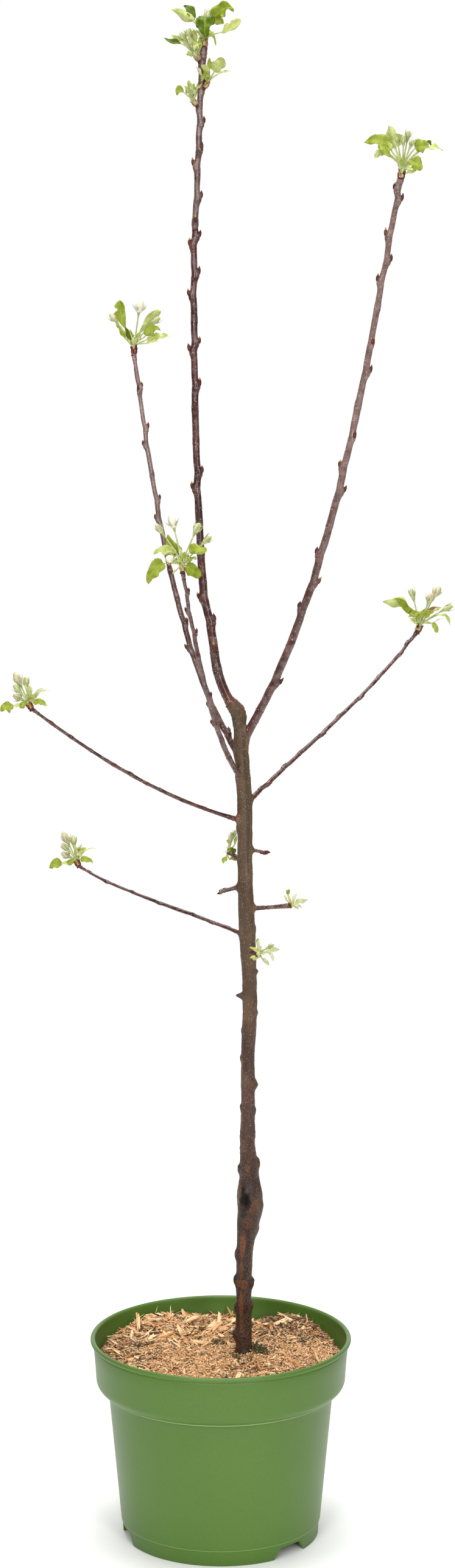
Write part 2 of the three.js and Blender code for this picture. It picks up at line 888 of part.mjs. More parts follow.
// Where a rib's handle lies so that the rib bows above its chord.
function bowHandle(start, tip, arch) {
  const chord = tip.clone().sub(start).normalize();
  const over = UP.clone().addScaledVector(chord, -chord.dot(UP));
  if (over.length() < 0.2) {
    over.copy(FRONT);
  }
  return start
    .clone()
    .lerp(tip, 0.5)
    .addScaledVector(over.normalize(), 2 * arch);
}

function stalkSolid(root, start, sunk) {
  const along = start.clone().sub(root).normalize();
  const ring = { place: start, along, wide: STALK_RADIUS, thick: STALK_RADIUS };
  return spindleSolid(sunk, [ring], root, 3, FRONT, 0);
}

function leafSolid(root, foot, row) {
  const tip = foot.clone().add(new THREE.Vector3(...row.tip));
  const start = foot.clone().add(new THREE.Vector3(...row.start));
  const blade = new THREE.QuadraticBezierCurve3(start, bowHandle(start, tip, row.arch), tip);
  const turned = THREE.MathUtils.degToRad(row.show);
  const upper = new THREE.Vector3(0.05, -Math.sin(turned), Math.cos(turned));
  const outline = row.width < SLIM_LEAF_WIDTH ? SLIM_LEAF_RINGS : LEAF_RINGS;
  const rings = outline.map(([share, wide]) => ({
    place: blade.getPoint(share),
    along: blade.getTangent(share),
    wide: (wide * row.width) / 2,
    thick: LEAF_THICK / 2,
  }));
  const stalk = stalkSolid(root, blade.getPoint(0.04), blade.getPoint(0.2));
  return spindleSolid(tip, rings, start, 4, upper, LEAF_FOLD).add(stalk);
}

function budSolid(root, foot, row) {
  const tip = foot.clone().add(new THREE.Vector3(...row.tip));
  const length = root.distanceTo(tip);
  const bend = root.clone().lerp(tip, 0.5).addScaledVector(UP, length * 0.06);
  const stalk = new THREE.QuadraticBezierCurve3(root, bend, tip);
  const start = 1 - Math.min(row.length / length, 0.75);
  const ringAt = (share, radius) => ({
    place: stalk.getPoint(share),
    along: stalk.getTangent(share),
    wide: radius,
    thick: radius,
  });
  const rings = BUD_RINGS.map(([share, wide]) =>
    ringAt(THREE.MathUtils.lerp(start, 1, share), (wide * row.width) / 2),
  );
  rings.push(ringAt(start * 0.85, STALK_RADIUS));
  return spindleSolid(tip, rings, root, BUD_SIDES, FRONT, 0);
}

// The leaves that the seeded rule adds, each two fifths of a turn on from the last, folded
// into the sector at the back that the named leaves leave open.
function filledLeaves(cluster) {
  const next = seededNumbers(cluster.seed);
  const rows = [];
  for (let i = 0; i < cluster.fill; i += 1) {
    const turn = (FILL_TURN * (i + next())) % FILL_SECTOR;
    const heading = FILL_START + turn;
    const rise = THREE.MathUtils.lerp(...FILL_RISE, next());
    const reach = THREE.MathUtils.lerp(...FILL_REACH, next()) * (cluster.space / 46);
    const tip = direction(heading, rise).multiplyScalar(reach);
    const width = reach * THREE.MathUtils.lerp(...FILL_SLENDER, next());
    const show = 30 + 50 * next();
    const start = tip.clone().multiplyScalar(STALK_SHARE_BACK);
    const arch = 1 + 2 * next();
    rows.push(leaf(tip.x, tip.z + 4, tip.y, start.x, start.z + 5, width, show, arch));
  }
  return rows;
}

// The foot of a cluster, and the way its stem starts.
function clusterFoot(cluster) {
  const limb = cluster.on === "leader" ? leader : boughLimbs.get(cluster.on);
  const out = direction(...cluster.lean);
  if (!cluster.at) {
    return { foot: limb.pointAt(1), out };
  }
  const share = shareAtHeight(limb, cluster.at);
  const level = direction(cluster.lean[0], 0);
  const foot = limb.pointAt(share).addScaledVector(level, limb.radiusAt(share));
  return { foot, out };
}

let taken = limbsGrown;

function clusterSolid(cluster) {
  const { foot, out } = clusterFoot(cluster);
  const sunk = foot.clone().addScaledVector(out, -1.2);
  const end = foot.clone().addScaledVector(out, cluster.stem);
  const stemRings = limbRings(
    (share) => sunk.clone().lerp(end, share),
    (share) => cluster.radius * (1.1 - 0.35 * share),
    3,
  );
  const stem = limbSolid(stemRings, 6, 0).subtract(limbsGrown);
  const rows = [...cluster.buds, ...cluster.leaves, ...filledLeaves(cluster)];
  let solid = stem;
  rows.forEach((row, i) => {
    if (Math.hypot(...row.tip) > cluster.space) {
      return;
    }
    const height = 0.5 + (0.4 * ((i * 2) % 5)) / 4;
    const root = foot.clone().addScaledVector(out, cluster.stem * height);
    const made = row.length ? budSolid(root, foot, row) : leafSolid(root, foot, row);
    if (made.intersect(taken).volume() > 0) {
      return;
    }
    solid = solid.add(made);
  });
  const body = mainBody(solid);
  taken = taken.add(body);
  return body;
}

// ---------------------------------------------------------------- pot and soil

// A solid turned on the pot's axis: the profile runs from radius to height.
function turnedSolid(profile) {
  const points = profile.map(([radius, height]) => new THREE.Vector2(radius, height));
  const geometry = new THREE.LatheGeometry(points, POT_SIDES);
  geometry.rotateX(Math.PI / 2);
  return solidFrom(geometry);
}

// The bend between the collar and the body, as a quarter of an ellipse.
function collarBend(inset) {
  const rise = COLLAR_FOOT_HEIGHT - BODY_TOP_HEIGHT - inset;
  const run = COLLAR_FOOT_RADIUS - BODY_TOP_RADIUS - 0.3 - (inset ? 0.2 : 0);
  const middle = BODY_TOP_RADIUS + 0.3 - inset;
  const points = [];
  for (const turn of [-68, -40, 0]) {
    const angle = THREE.MathUtils.degToRad(turn);
    points.push([
      middle + run * Math.cos(angle),
      COLLAR_FOOT_HEIGHT + rise * Math.sin(angle) + inset * 0.3,
    ]);
  }
  return points;
}

function potSolid() {
  const rimInner = COLLAR_TOP_RADIUS - POT_WALL + 0.7;
  const profile = [
    [0, FLOOR_UNDERSIDE],
    [FOOT_RING_RADIUS - FOOT_RING_WIDTH, FLOOR_UNDERSIDE],
    [FOOT_RING_RADIUS - FOOT_RING_WIDTH, 0],
    [FOOT_RING_RADIUS, 0],
    [FOOT_RING_TOP_RADIUS, BODY_FOOT_HEIGHT - 1],
    [BODY_FOOT_RADIUS, BODY_FOOT_HEIGHT],
    [BODY_TOP_RADIUS, BODY_TOP_HEIGHT],
    ...collarBend(0),
    [COLLAR_TOP_RADIUS, POT_HEIGHT - RIM_DEPTH - 0.4],
    [RIM_RADIUS, POT_HEIGHT - RIM_DEPTH],
    [RIM_RADIUS, POT_HEIGHT - RIM_ROUND],
    [RIM_RADIUS - RIM_ROUND, POT_HEIGHT],
    [rimInner, POT_HEIGHT],
    ...collarBend(POT_WALL).reverse(),
    [BODY_TOP_RADIUS - POT_WALL, BODY_TOP_HEIGHT + POT_WALL * 0.6],
    [BODY_FOOT_RADIUS - POT_WALL, FLOOR_TOP],
    [0, FLOOR_TOP],
  ];
  let solid = turnedSolid(profile);
  for (let i = 0; i < FOOT_NOTCHES; i += 1) {
    const shape = new THREE.Shape([
      new THREE.Vector2(-NOTCH_FOOT_WIDTH / 2, -1),
      new THREE.Vector2(NOTCH_FOOT_WIDTH / 2, -1),
      new THREE.Vector2(NOTCH_TOP_WIDTH / 2, NOTCH_HEIGHT),
      new THREE.Vector2(-NOTCH_TOP_WIDTH / 2, NOTCH_HEIGHT),
    ]);
    const geometry = new THREE.ExtrudeGeometry(shape, { depth: 24, bevelEnabled: false });
    geometry.rotateX(Math.PI / 2);
    geometry.translate(0, -FOOT_RING_RADIUS + 12, 0);
    geometry.rotateZ(THREE.MathUtils.degToRad(90 + FIRST_NOTCH_HEADING + 120 * i));
    solid = solid.subtract(solidFrom(geometry));
  }
  return solid;
}

// How high the mulch lies at a place in the pot.
function mulchHeight(x, y, next) {
  let height = MULCH_LEVEL + MULCH_ROUGHNESS * (next() - 0.5) * 2;
  for (const [heading, distance, rise, spread] of MULCH_HEAPS) {
    const centre = direction(heading, 0).multiplyScalar(distance);
    const away = Math.hypot(x - centre.x, y - centre.y);
    height += rise * Math.exp(-((away / spread) ** 2));
  }
  return height;
}

function soilSolid() {
  const inset = POT_WALL + JOINT_GAP + 0.15;
  const bend = collarBend(inset);
  const edge = COLLAR_FOOT_RADIUS - POT_WALL + 0.5;
  const ring = (radius) => [radius, MULCH_LEVEL];
  const profile = [
    [0, FLOOR_TOP + JOINT_GAP],
    [BODY_FOOT_RADIUS - inset, FLOOR_TOP + JOINT_GAP],
    [BODY_TOP_RADIUS - inset, BODY_TOP_HEIGHT + inset * 0.75],
    ...bend,
    ring(edge),
    ...MULCH_RINGS.map(ring),
    [0, MULCH_LEVEL],
  ];
  const points = profile.map(([radius, height]) => new THREE.Vector2(radius, height));
  const geometry = new THREE.LatheGeometry(points, POT_SIDES);
  geometry.rotateX(Math.PI / 2);
  const bare = new THREE.BufferGeometry();
  bare.setAttribute("position", geometry.getAttribute("position"));
  bare.setIndex(geometry.getIndex());
  const merged = mergeVertices(bare, 1e-3);
  const position = merged.getAttribute("position");
  const next = seededNumbers(MULCH_SEED);
  for (let i = 0; i < position.count; i += 1) {
    if (Math.abs(position.getZ(i) - MULCH_LEVEL) < 0.01) {
      const height = mulchHeight(position.getX(i), position.getY(i), next);
      position.setZ(i, height);
    }
  }
  const [x, y] = TRUNK_STATIONS[0];
  const seat = new THREE.CylinderGeometry(TRUNK_SEAT_RADIUS, TRUNK_SEAT_RADIUS, 30, 16);
  seat.rotateX(Math.PI / 2);
  seat.translate(x, y, TRUNK_SEAT_LEVEL + 15);
  return solidFrom(merged).subtract(solidFrom(seat));
}

// ---------------------------------------------------------------- the plant

const plant = new THREE.Group();
plant.add(meshFrom("pot", potSolid(), FINISH.pot));
plant.add(meshFrom("soil", mainBody(soilSolid()), FINISH.mulch));
plant.add(meshFrom("trunk", mainBody(trunkBody), FINISH.bark));
for (const [name, body] of limbBodies) {
  plant.add(meshFrom(name, body, FINISH.shoot));
}
for (const cluster of CLUSTERS) {
  plant.add(meshFrom(cluster.name, clusterSolid(cluster), FINISH.leaf));
}

// The group's origin lies on the floor under the middle of the plant's box.
const box = new THREE.Box3().setFromObject(plant, true);
const middle = box.getCenter(new THREE.Vector3());
plant.position.set(-middle.x, -middle.y, 0);
const tree = new THREE.Group();
tree.add(plant);

export default tree;
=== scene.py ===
"""A young dwarf apple tree in a round nursery pot, in early spring, dressed for rendering.

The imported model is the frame. Sizes are in millimetres from the pot's axis at floor level,
and one function turns them into metres in the frame. +X is the tree's right, +Y its back.
"""

import logging
import math
from collections.abc import Callable
from dataclasses import dataclass, field, replace
from enum import Enum

import bpy
import numpy as np
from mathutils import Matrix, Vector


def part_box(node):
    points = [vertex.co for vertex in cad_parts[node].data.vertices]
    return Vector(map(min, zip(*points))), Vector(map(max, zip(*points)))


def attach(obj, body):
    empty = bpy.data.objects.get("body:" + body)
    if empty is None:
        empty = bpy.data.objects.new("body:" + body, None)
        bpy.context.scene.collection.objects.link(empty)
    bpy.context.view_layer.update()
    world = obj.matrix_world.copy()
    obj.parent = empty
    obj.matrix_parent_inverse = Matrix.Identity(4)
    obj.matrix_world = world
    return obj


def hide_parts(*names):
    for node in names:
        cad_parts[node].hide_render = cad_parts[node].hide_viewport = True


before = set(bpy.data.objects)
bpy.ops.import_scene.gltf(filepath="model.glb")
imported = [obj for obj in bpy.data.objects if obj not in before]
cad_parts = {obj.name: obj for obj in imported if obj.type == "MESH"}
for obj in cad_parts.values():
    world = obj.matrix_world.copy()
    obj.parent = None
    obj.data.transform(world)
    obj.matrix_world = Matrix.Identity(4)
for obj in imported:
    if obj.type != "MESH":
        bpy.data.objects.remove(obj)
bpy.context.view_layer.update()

LOG = logging.getLogger("apple_tree")
Array = np.ndarray
Socket = bpy.types.NodeSocket
Stretch = tuple[float, float, float]
MM = 0.001
UP = np.array([0.0, 0.0, 1.0])
FRONT = np.array([0.0, -1.0, 0.0])


# ---------- small helpers


def pot_axis() -> Array:
    """Finds where the pot's axis meets the floor, in metres in the frame."""
    low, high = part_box("pot")
    return np.array([(low.x + high.x) / 2, (low.y + high.y) / 2, 0.0])


POT_AXIS = pot_axis()


def linear(colour: str) -> tuple[float, ...]:
    """Turns an sRGB hex colour into linear red, green and blue, with a full alpha."""
    parts = [int(colour[i : i + 2], 16) / 255 for i in (1, 3, 5)]
    return (*(c / 12.92 if c <= 0.04045 else ((c + 0.055) / 1.055) ** 2.4 for c in parts), 1.0)


def direction(heading: float, rise: float = 0.0) -> Array:
    """Gives the unit vector along a heading and a rise.

    Args:
        heading: Degrees from +X towards +Y.
        rise: Degrees above level.

    Returns:
        The unit vector.
    """
    turn, lift = math.radians(heading), math.radians(rise)
    level = math.cos(lift)
    return np.array([level * math.cos(turn), level * math.sin(turn), math.sin(lift)])


def unit(vectors: Array) -> Array:
    """Scales one vector, or rows of them, to length one."""
    return vectors / np.maximum(np.linalg.norm(vectors, axis=-1, keepdims=True), 1e-9)


def square_to(axes: Array, vector: Array) -> Array:
    """Turns a vector square to an axis, or to each of some, and scales it to length one."""
    return unit(vector - axes * np.asarray(axes @ vector)[..., None])


def bell(away: Array, spread: float = 1.0) -> Array:
    """Falls smoothly from 1 at no distance to 0 beyond about twice `spread`."""
    return np.exp(-((away / spread) ** 2))


def smooth(low: float, high: float, value: Array) -> Array:
    """Rises smoothly from 0 at `low` to 1 at `high`."""
    share = np.clip((value - low) / (high - low), 0.0, 1.0)
    return share * share * (3 - 2 * share)


def bezier(points: list[Array], share: Array | int) -> Array:
    """Finds points on a Bezier curve of any degree.

    Args:
        points: The control points.
        share: Shares of the curve, or how many even ones.

    Returns:
        One row for each share.
    """
    share = (np.linspace(0, 1, share) if isinstance(share, int) else share)[:, None]
    level = [np.repeat(p[None, :], len(share), axis=0) for p in points]
    while len(level) > 1:
        level = [a * (1 - share) + b * share for a, b in zip(level, level[1:])]
    return level[0]


def lattice_noise(points: Array, seed: int) -> Array:
    """Makes smooth seeded noise from -1 to 1.

    Args:
        points: Rows of places, one unit to a cell.
        seed: Which noise.

    Returns:
        One value for each place.
    """
    cell = np.floor(points).astype(np.int64)
    part = points - cell
    part = part * part * (3 - 2 * part)
    total = np.zeros(len(points))
    for corner in range(8):
        step = np.array([corner & 1, corner >> 1 & 1, corner >> 2])
        at = (cell + step) & 0xFFFF
        mixed = (at[:, 0] * 73856093) ^ (at[:, 1] * 19349663) ^ (at[:, 2] * 83492791)
        mixed = (mixed ^ (seed * 2654435761)) & 0xFFFFFFFF
        mixed = ((mixed ^ (mixed >> 15)) * 0x2C1B3C6D) & 0xFFFFFFFF
        mixed = ((mixed ^ (mixed >> 12)) * 0x297A2D39) & 0xFFFFFFFF
        value = (mixed ^ (mixed >> 15)) / 2**31 - 1
        total += value * np.prod(np.where(step == 1, part, 1 - part), axis=1)
    return total


class SeededNumbers:
    """The source's repeatable numbers from 0 to 1."""

    def __init__(self, seed: int) -> None:
        """Starts the row of numbers at a seed."""
        self.state = seed & 0xFFFFFFFF

    def next(self) -> float:
        """Draws the next number.

        Returns:
            A number from 0 to 1.
        """
        self.state = (self.state + 0x6D2B79F5) & 0xFFFFFFFF
        mixed = ((self.state ^ (self.state >> 15)) * (1 | self.state)) & 0xFFFFFFFF
        more = ((mixed ^ (mixed >> 7)) * (61 | mixed)) & 0xFFFFFFFF
        mixed = ((mixed + more) & 0xFFFFFFFF) ^ mixed
        return (mixed ^ (mixed >> 14)) / 4294967296

    def between(self, low: float, high: float) -> float:
        """Gives the next number, stretched to lie between two values."""
        return low + (high - low) * self.next()


# ---------- finishes


def fill(tree: bpy.types.NodeTree, node: bpy.types.Node, sockets: dict) -> None:
    """Gives a node's input sockets what they hold.

    Args:
        tree: The nodes that it is among.
        node: The node.
        sockets: A value or an output to link, by the input's name or place.
    """
    for name, value in sockets.items():
        if isinstance(value, bpy.types.NodeSocket):
            tree.links.new(value, node.inputs[name])
        else:
            node.inputs[name].default_value = value


def add_node(
    tree: bpy.types.NodeTree, kind: str, sockets: dict | None = None, **settings: object
) -> bpy.types.Node:
    """Adds one shader node with its settings and links.

    Args:
        tree: The nodes that it joins.
        kind: Blender's name of the node type.
        sockets: What each input socket holds, by name or place.
        settings: The node's own settings. `stops` fills a colour ramp.

    Returns:
        The node.
    """
    node = tree.nodes.new(kind)
    for i, (at, colour) in enumerate(settings.pop("stops", {}).items()):
        ramp = node.color_ramp.elements
        stop = ramp[i] if i < 2 else ramp.new(at)
        stop.position, stop.color = at, linear(colour)
    for name, value in settings.items():
        setattr(node, name, value)
    fill(tree, node, sockets or {})
    return node


class Surface:
    """A material in the making, with short calls that add its nodes and give their output."""

    def __init__(self, name: str) -> None:
        """Starts a material with the standard shader.

        Args:
            name: The material's name.
        """
        self.material = bpy.data.materials.new(name)
        self.material.use_nodes = True
        self.tree = self.material.node_tree

    def put(self, sockets: dict) -> None:
        """Sets or links sockets of the standard shader."""
        fill(self.tree, self.tree.nodes["Principled BSDF"], sockets)

    def place(self, stretch: Stretch = (1.0, 1.0, 1.0)) -> Socket:
        """Gives places in the piece's own space.

        Args:
            stretch: How much closer a pattern lies along each axis.

        Returns:
            The vector output.
        """
        object_space = add_node(self.tree, "ShaderNodeTexCoord").outputs["Object"]
        sockets = {"Vector": object_space, "Scale": stretch}
        return add_node(self.tree, "ShaderNodeMapping", sockets).outputs[0]

    def noise(self, size_mm: float, detail: float, stretch: Stretch = (1.0, 1.0, 1.0)) -> Socket:
        """Adds noise with patches of a real size and a number of finer layers."""
        sockets = {"Vector": self.place(stretch), "Scale": 1 / (size_mm * MM), "Detail": detail}
        return add_node(self.tree, "ShaderNodeTexNoise", sockets).outputs[0]

    def ramp(self, value: Socket, stops: dict[float, str]) -> Socket:
        """Turns values into colours."""
        return add_node(self.tree, "ShaderNodeValToRGB", {"Fac": value}, stops=stops).outputs[0]

    def span(
        self, value: Socket, low: float, high: float, start: float = 0.0, end: float = 1.0
    ) -> Socket:
        """Turns values from `start` to `end` into ones from `low` to `high`."""
        sockets = {"Value": value, "From Min": start, "From Max": end, "To Min": low, "To Max": high}
        return add_node(self.tree, "ShaderNodeMapRange", sockets).outputs[0]

    def join(self, operation: str, first: Socket, second: Socket) -> Socket:
        """Adds or multiplies two values."""
        sockets = {0: first, 1: second}
        return add_node(self.tree, "ShaderNodeMath", sockets, operation=operation).outputs[0]

    def mix(self, share: Socket, first: Socket, second: Socket, blend: str = "MIX") -> Socket:
        """Mixes a share of a second colour into the first."""
        sockets, settings = {0: share, 6: first, 7: second}, {"data_type": "RGBA", "blend_type": blend}
        return add_node(self.tree, "ShaderNodeMix", sockets, **settings).outputs[2]

    def cover(self, colour: Socket, height: Socket, strength: float, depth_mm: float) -> None:
        """Gives the surface its colour and its relief.

        Args:
            colour: The colour output.
            height: The relief's output.
            strength: How much the relief shows.
            depth_mm: How deep it is.
        """
        sockets = {"Height": height, "Strength": strength, "Distance": depth_mm * MM}
        bump = add_node(self.tree, "ShaderNodeBump", sockets).outputs[0]
        self.put({"Base Color": colour, "Normal": bump})


@dataclass(frozen=True)
class Finish:
    """A real surface, with its main, darker and lighter colour. Each kind draws its own
    pattern, gloss and relief."""

    name: str
    colours: tuple[str, ...]
    roughness: float = 0.6
    ior: float = 1.5

    def material(self) -> bpy.types.Material:
        """Makes the finish's material, or gives the one made before.

        Returns:
            The material.
        """
        made = bpy.data.materials.get(self.name)
        if made:
            return made
        surface = Surface(self.name)
        surface.put({"Base Color": linear(self.colours[0])})
        surface.put({"Roughness": self.roughness, "IOR": self.ior})
        self.draw(surface)
        return surface.material

    def draw(self, surface: Surface) -> None:
        """Adds the finish's own nodes; a finish with none is plain."""

    def shades(self, dark: float, main: float, light: float) -> dict[float, str]:
        """Lays the darker, the main and the lighter colour along a ramp."""
        return {dark: self.colours[1], main: self.colours[0], light: self.colours[2]}


@dataclass(frozen=True)
class MouldedPolypropylene(Finish):
    """Injection-moulded polypropylene: even green with faint flow clouds, a fine pebble in the
    skin and a soft, half-matt sheen."""

    clouds_in_metre: float = 9.0
    pebble_mm: float = 0.8
    relief: float = 0.12

    def draw(self, surface: Surface) -> None:
        """Adds flow clouds, speckle and the pebbled skin.

        Args:
            surface: The material in the making.
        """
        cloud = surface.noise(1000 / self.clouds_in_metre, 3.0)
        speck = surface.noise(self.pebble_mm, 2.0)
        base = surface.ramp(cloud, self.shades(0.0, 0.5, 1.0))
        specks = surface.ramp(speck, {0.28: "#9a9a9a", 0.44: "#f4f4f4", 0.7: "#ffffff"})
        surface.put({"Roughness": surface.span(cloud, self.roughness - 0.05, self.roughness + 0.06)})
        surface.cover(surface.mix(0.35, base, specks, "MULTIPLY"), speck, self.relief, 0.2)


@dataclass(frozen=True)
class AppleBark(Finish):
    """Smooth young apple bark: a waxy brown skin with lengthwise wrinkles and pale corky
    dots. Painted marks on the mesh turn it orange where it is rubbed, olive where algae
    grow and dark on old wounds and darker stretches; in and below the trunk's wound the dark is also
    painted shade."""

    wrinkle_mm: float = 0.6
    dot_mm: float = 2.6
    dot_size: float = 0.17
    dot_colour: str = "#cbad92"
    dark_bark_and_shade: str = "#17100d"
    relief: float = 1.2
    wax: float = 0.0

    def draw(self, surface: Surface) -> None:
        """Adds the mottled skin, the marks, the corky dots and the wrinkles.

        Args:
            surface: The material in the making.
        """
        marks = add_node(surface.tree, "ShaderNodeAttribute", attribute_name="marks").outputs
        split = add_node(surface.tree, "ShaderNodeSeparateColor", {"Color": marks["Color"]})
        rubbed, olive, dark = split.outputs
        corky = marks["Alpha"]
        wrinkle = surface.noise(self.wrinkle_mm, 3.0, (1.0, 1.0, 0.45))
        grain = surface.ramp(wrinkle, {0.38: "#3a322e", 0.48: "#bdb5b0", 0.58: "#ffffff"})
        depth = surface.span(corky, 1.0, 0.42, 0.2)
        skin = surface.ramp(surface.noise(12.0, 5.0, (1.0, 1.0, 0.5)), self.shades(0.3, 0.5, 0.68))
        skin = surface.mix(depth, skin, grain, "MULTIPLY")
        algae = surface.mix(depth, linear(self.colours[4]), grain, "MULTIPLY")
        skin = surface.mix(olive, skin, algae)
        patchy = surface.join("MULTIPLY", rubbed, surface.span(wrinkle, 0.25, 0.95, 0.34, 0.6))
        skin = surface.mix(patchy, skin, linear(self.colours[3]))
        # The dark channel: old wounds and darker bark, and painted shade in and below the trunk's
        # wound.
        skin = surface.mix(dark, skin, linear(self.dark_bark_and_shade))
        sockets = {"Vector": surface.place((1.0, 1.0, 1.9)), "Scale": 1 / (self.dot_mm * MM)}
        cells = add_node(surface.tree, "ShaderNodeTexVoronoi", sockets).outputs["Distance"]
        dots = surface.span(cells, 0.0, 1.0, self.dot_size, self.dot_size * 0.7)
        dots = surface.join("MULTIPLY", dots, corky)
        skin = surface.mix(dots, skin, linear(self.dot_colour))
        dull = surface.span(dark, self.roughness, 0.9, 0.4)
        surface.put({"Roughness": dull, "Coat Weight": self.wax, "Coat Roughness": 0.17})
        surface.cover(skin, surface.join("ADD", dots, wrinkle), self.relief, 0.32)


@dataclass(frozen=True)
class SoftTissue(Finish):
    """Leaf, petal or stalk: a thin moist skin that light soaks into, with small patches a
    shade lighter or darker."""

    soak: float = 0.12
    patch_mm: float = 4.0
    blister_mm: float = 0.8
    relief: float = 0.35
    shine: float = 0.2

    def draw(self, surface: Surface) -> None:
        """Adds the patches, a fine blister and the light that soaks in.

        Args:
            surface: The material in the making.
        """
        surface.put({"Specular IOR Level": self.shine, "Subsurface Weight": self.soak})
        surface.put({"Subsurface Radius": (1.0, 0.9, 0.4), "Subsurface Scale": 0.8 * MM})
        base = surface.ramp(surface.noise(self.patch_mm, 4.0), self.shades(0.3, 0.52, 0.75))
        surface.cover(base, surface.noise(self.blister_mm, 2.0), self.relief, 0.15)


@dataclass(frozen=True)
class RawWood(Finish):
    """Torn dry softwood: dull, with fine darker grain."""

    grain_mm: float = 1.6

    def draw(self, surface: Surface) -> None:
        """Adds the grain."""
        grain = surface.noise(self.grain_mm, 4.0)
        surface.cover(surface.ramp(grain, self.shades(0.3, 0.5, 0.7)), grain, 0.6, 0.3)


GREEN_SHELL = MouldedPolypropylene(
    "moulded_polypropylene", ("#4b6d21", "#456620", "#517428"), 0.4, 1.46
)
INNER_SHELL = MouldedPolypropylene(
    "polypropylene_inside", ("#4d7027", "#426220", "#577b30"), 0.5, 1.45
)
# A paler copy of the green plastic, for painted highlights along the collar's lower edge and the foot
# ring's top edge.
EDGE_HIGHLIGHT_SHELL = MouldedPolypropylene(
    "polypropylene_painted_edge_highlight", ("#7f9f5e", "#769655", "#8bab6b"), 0.4, 1.47
)
STUDIO_PAPER = Finish("studio_paper", ("#fafaf9",), 0.9)
# A bark's colours are main, darker, lighter, rubbed and olive.
TRUNK_BARK = AppleBark(
    "apple_trunk_bark", ("#563c30", "#38261e", "#715746", "#82502f", "#625039"), 0.36, 1.36
)
SHOOT_BARK = AppleBark(
    "apple_shoot_bark", ("#421a15", "#2b110f", "#592c25", "#6d4430", "#a68c83"), 0.32, 1.38,
    wrinkle_mm=0.7, dot_mm=2.4, dot_size=0.16, dot_colour="#e2ccb8", relief=0.3, wax=0.44,
)


class Tissue(Enum):
    """The soft finishes, by where they lie on the plant."""

    FRESH = SoftTissue("leaf_fresh_green", ("#909d3a", "#7f8c2b", "#a5b150"), 0.5, 1.4)
    DEEP = SoftTissue("leaf_deep_green", ("#768520", "#657415", "#8a992f"), 0.42, 1.4)
    # A darker copy of the fresh green: painted shade in the sunken vein grooves of large fresh leaves.
    VEIN_SHADE = SoftTissue("leaf_sunken_vein_painted_shade", ("#879433", "#798628", "#98a443"), 0.5, 1.4)
    DARK = SoftTissue("leaf_shaded_green", ("#4f6510", "#3d520a", "#64791c"), 0.42, 1.4)
    PALE = SoftTissue("leaf_pale_green", ("#b2ba6c", "#a0a858", "#c4cb86"), 0.55, 1.4)
    RUST = SoftTissue("leaf_rusty_tip", ("#8a6a3c", "#6f4f2f", "#9c8348"), 0.6)
    DOWNY = SoftTissue("leaf_downy_underside", ("#abb46e", "#9aa45e", "#bcc384"), 0.8)
    RIB = SoftTissue("leaf_rib", ("#9ba648", "#8b963a", "#acb65c"), 0.55, 1.4)
    SILVER = SoftTissue("leaf_silver_down", ("#b9bb8e", "#a5a777", "#cccda9"), 0.8)
    STALK = SoftTissue("downy_stalk", ("#adb576", "#9ba362", "#c0c792"), 0.7)
    CALYX = SoftTissue("downy_calyx", ("#a0aa6c", "#8b9558", "#b3bb86"), 0.75)
    PETAL = SoftTissue("petal_white", ("#ddd5c6", "#cfc6b4", "#e8e2d6"), 0.6, soak=0.25)
    BLUSH = SoftTissue("petal_blush", ("#c0b898", "#aea684", "#d0c9ae"), 0.6, soak=0.25)
    UNRIPE = SoftTissue("petal_unripe", ("#b6b68a", "#a3a474", "#c8c8a4"), 0.65, soak=0.25)
    SCALE_RED = SoftTissue("bud_scale_red", ("#7e3830", "#5c231e", "#9a5a4c"), 0.5, soak=0.03)
    BUD_RED = SoftTissue("resting_bud_red", ("#62302a", "#48201c", "#7c4a3c"), 0.45, soak=0.02)
    SCALE_TAN = SoftTissue("bud_scale_tan", ("#9c7444", "#7e5830", "#b8935f"), 0.6, soak=0.03)
    SCALE_DARK = SoftTissue("bud_scale_dark", ("#4a2a24", "#351c19", "#653a30"), 0.5, soak=0.02)
    SCALE_CREAM = SoftTissue("bud_scale_cream", ("#ac9c70", "#96865a", "#c0b38a"), 0.6, soak=0.05)


(FRESH, DEEP, VEIN_SHADE, DARK, PALE, RUST, DOWNY, RIB, SILVER, STALK, CALYX, PETAL, BLUSH,
 UNRIPE, SCALE_RED, BUD_RED, SCALE_TAN, SCALE_DARK, SCALE_CREAM) = Tissue


class Wood(Enum):
    """The tones that wood chips and humus weather to."""

    PALE = RawWood("chip_pale", ("#edca99", "#dbb17f", "#f6dcb4"), 0.85)
    TAN = RawWood("chip_tan", ("#dcad7b", "#c4925f", "#e8c294"), 0.88)
    WARM = RawWood("chip_warm", ("#bf8650", "#a66e3d", "#d29e6a"), 0.88)
    GREY = RawWood("chip_grey", ("#a08a70", "#86715a", "#b8a389"), 0.9)
    BROWN = RawWood("chip_brown", ("#7c5a3d", "#5e412b", "#936f4e"), 0.92)
    HUMUS = RawWood("humus", ("#49331f", "#362315", "#5f452e"), 0.95)
    MOSS = RawWood("moss_green", ("#3c4620", "#2a3216", "#545e2e"), 0.9)
    GROUND = RawWood("fine_shavings", ("#c59560", "#9b6d44", "#dcb07b"), 0.95, grain_mm=2.5)


# ---------- meshes


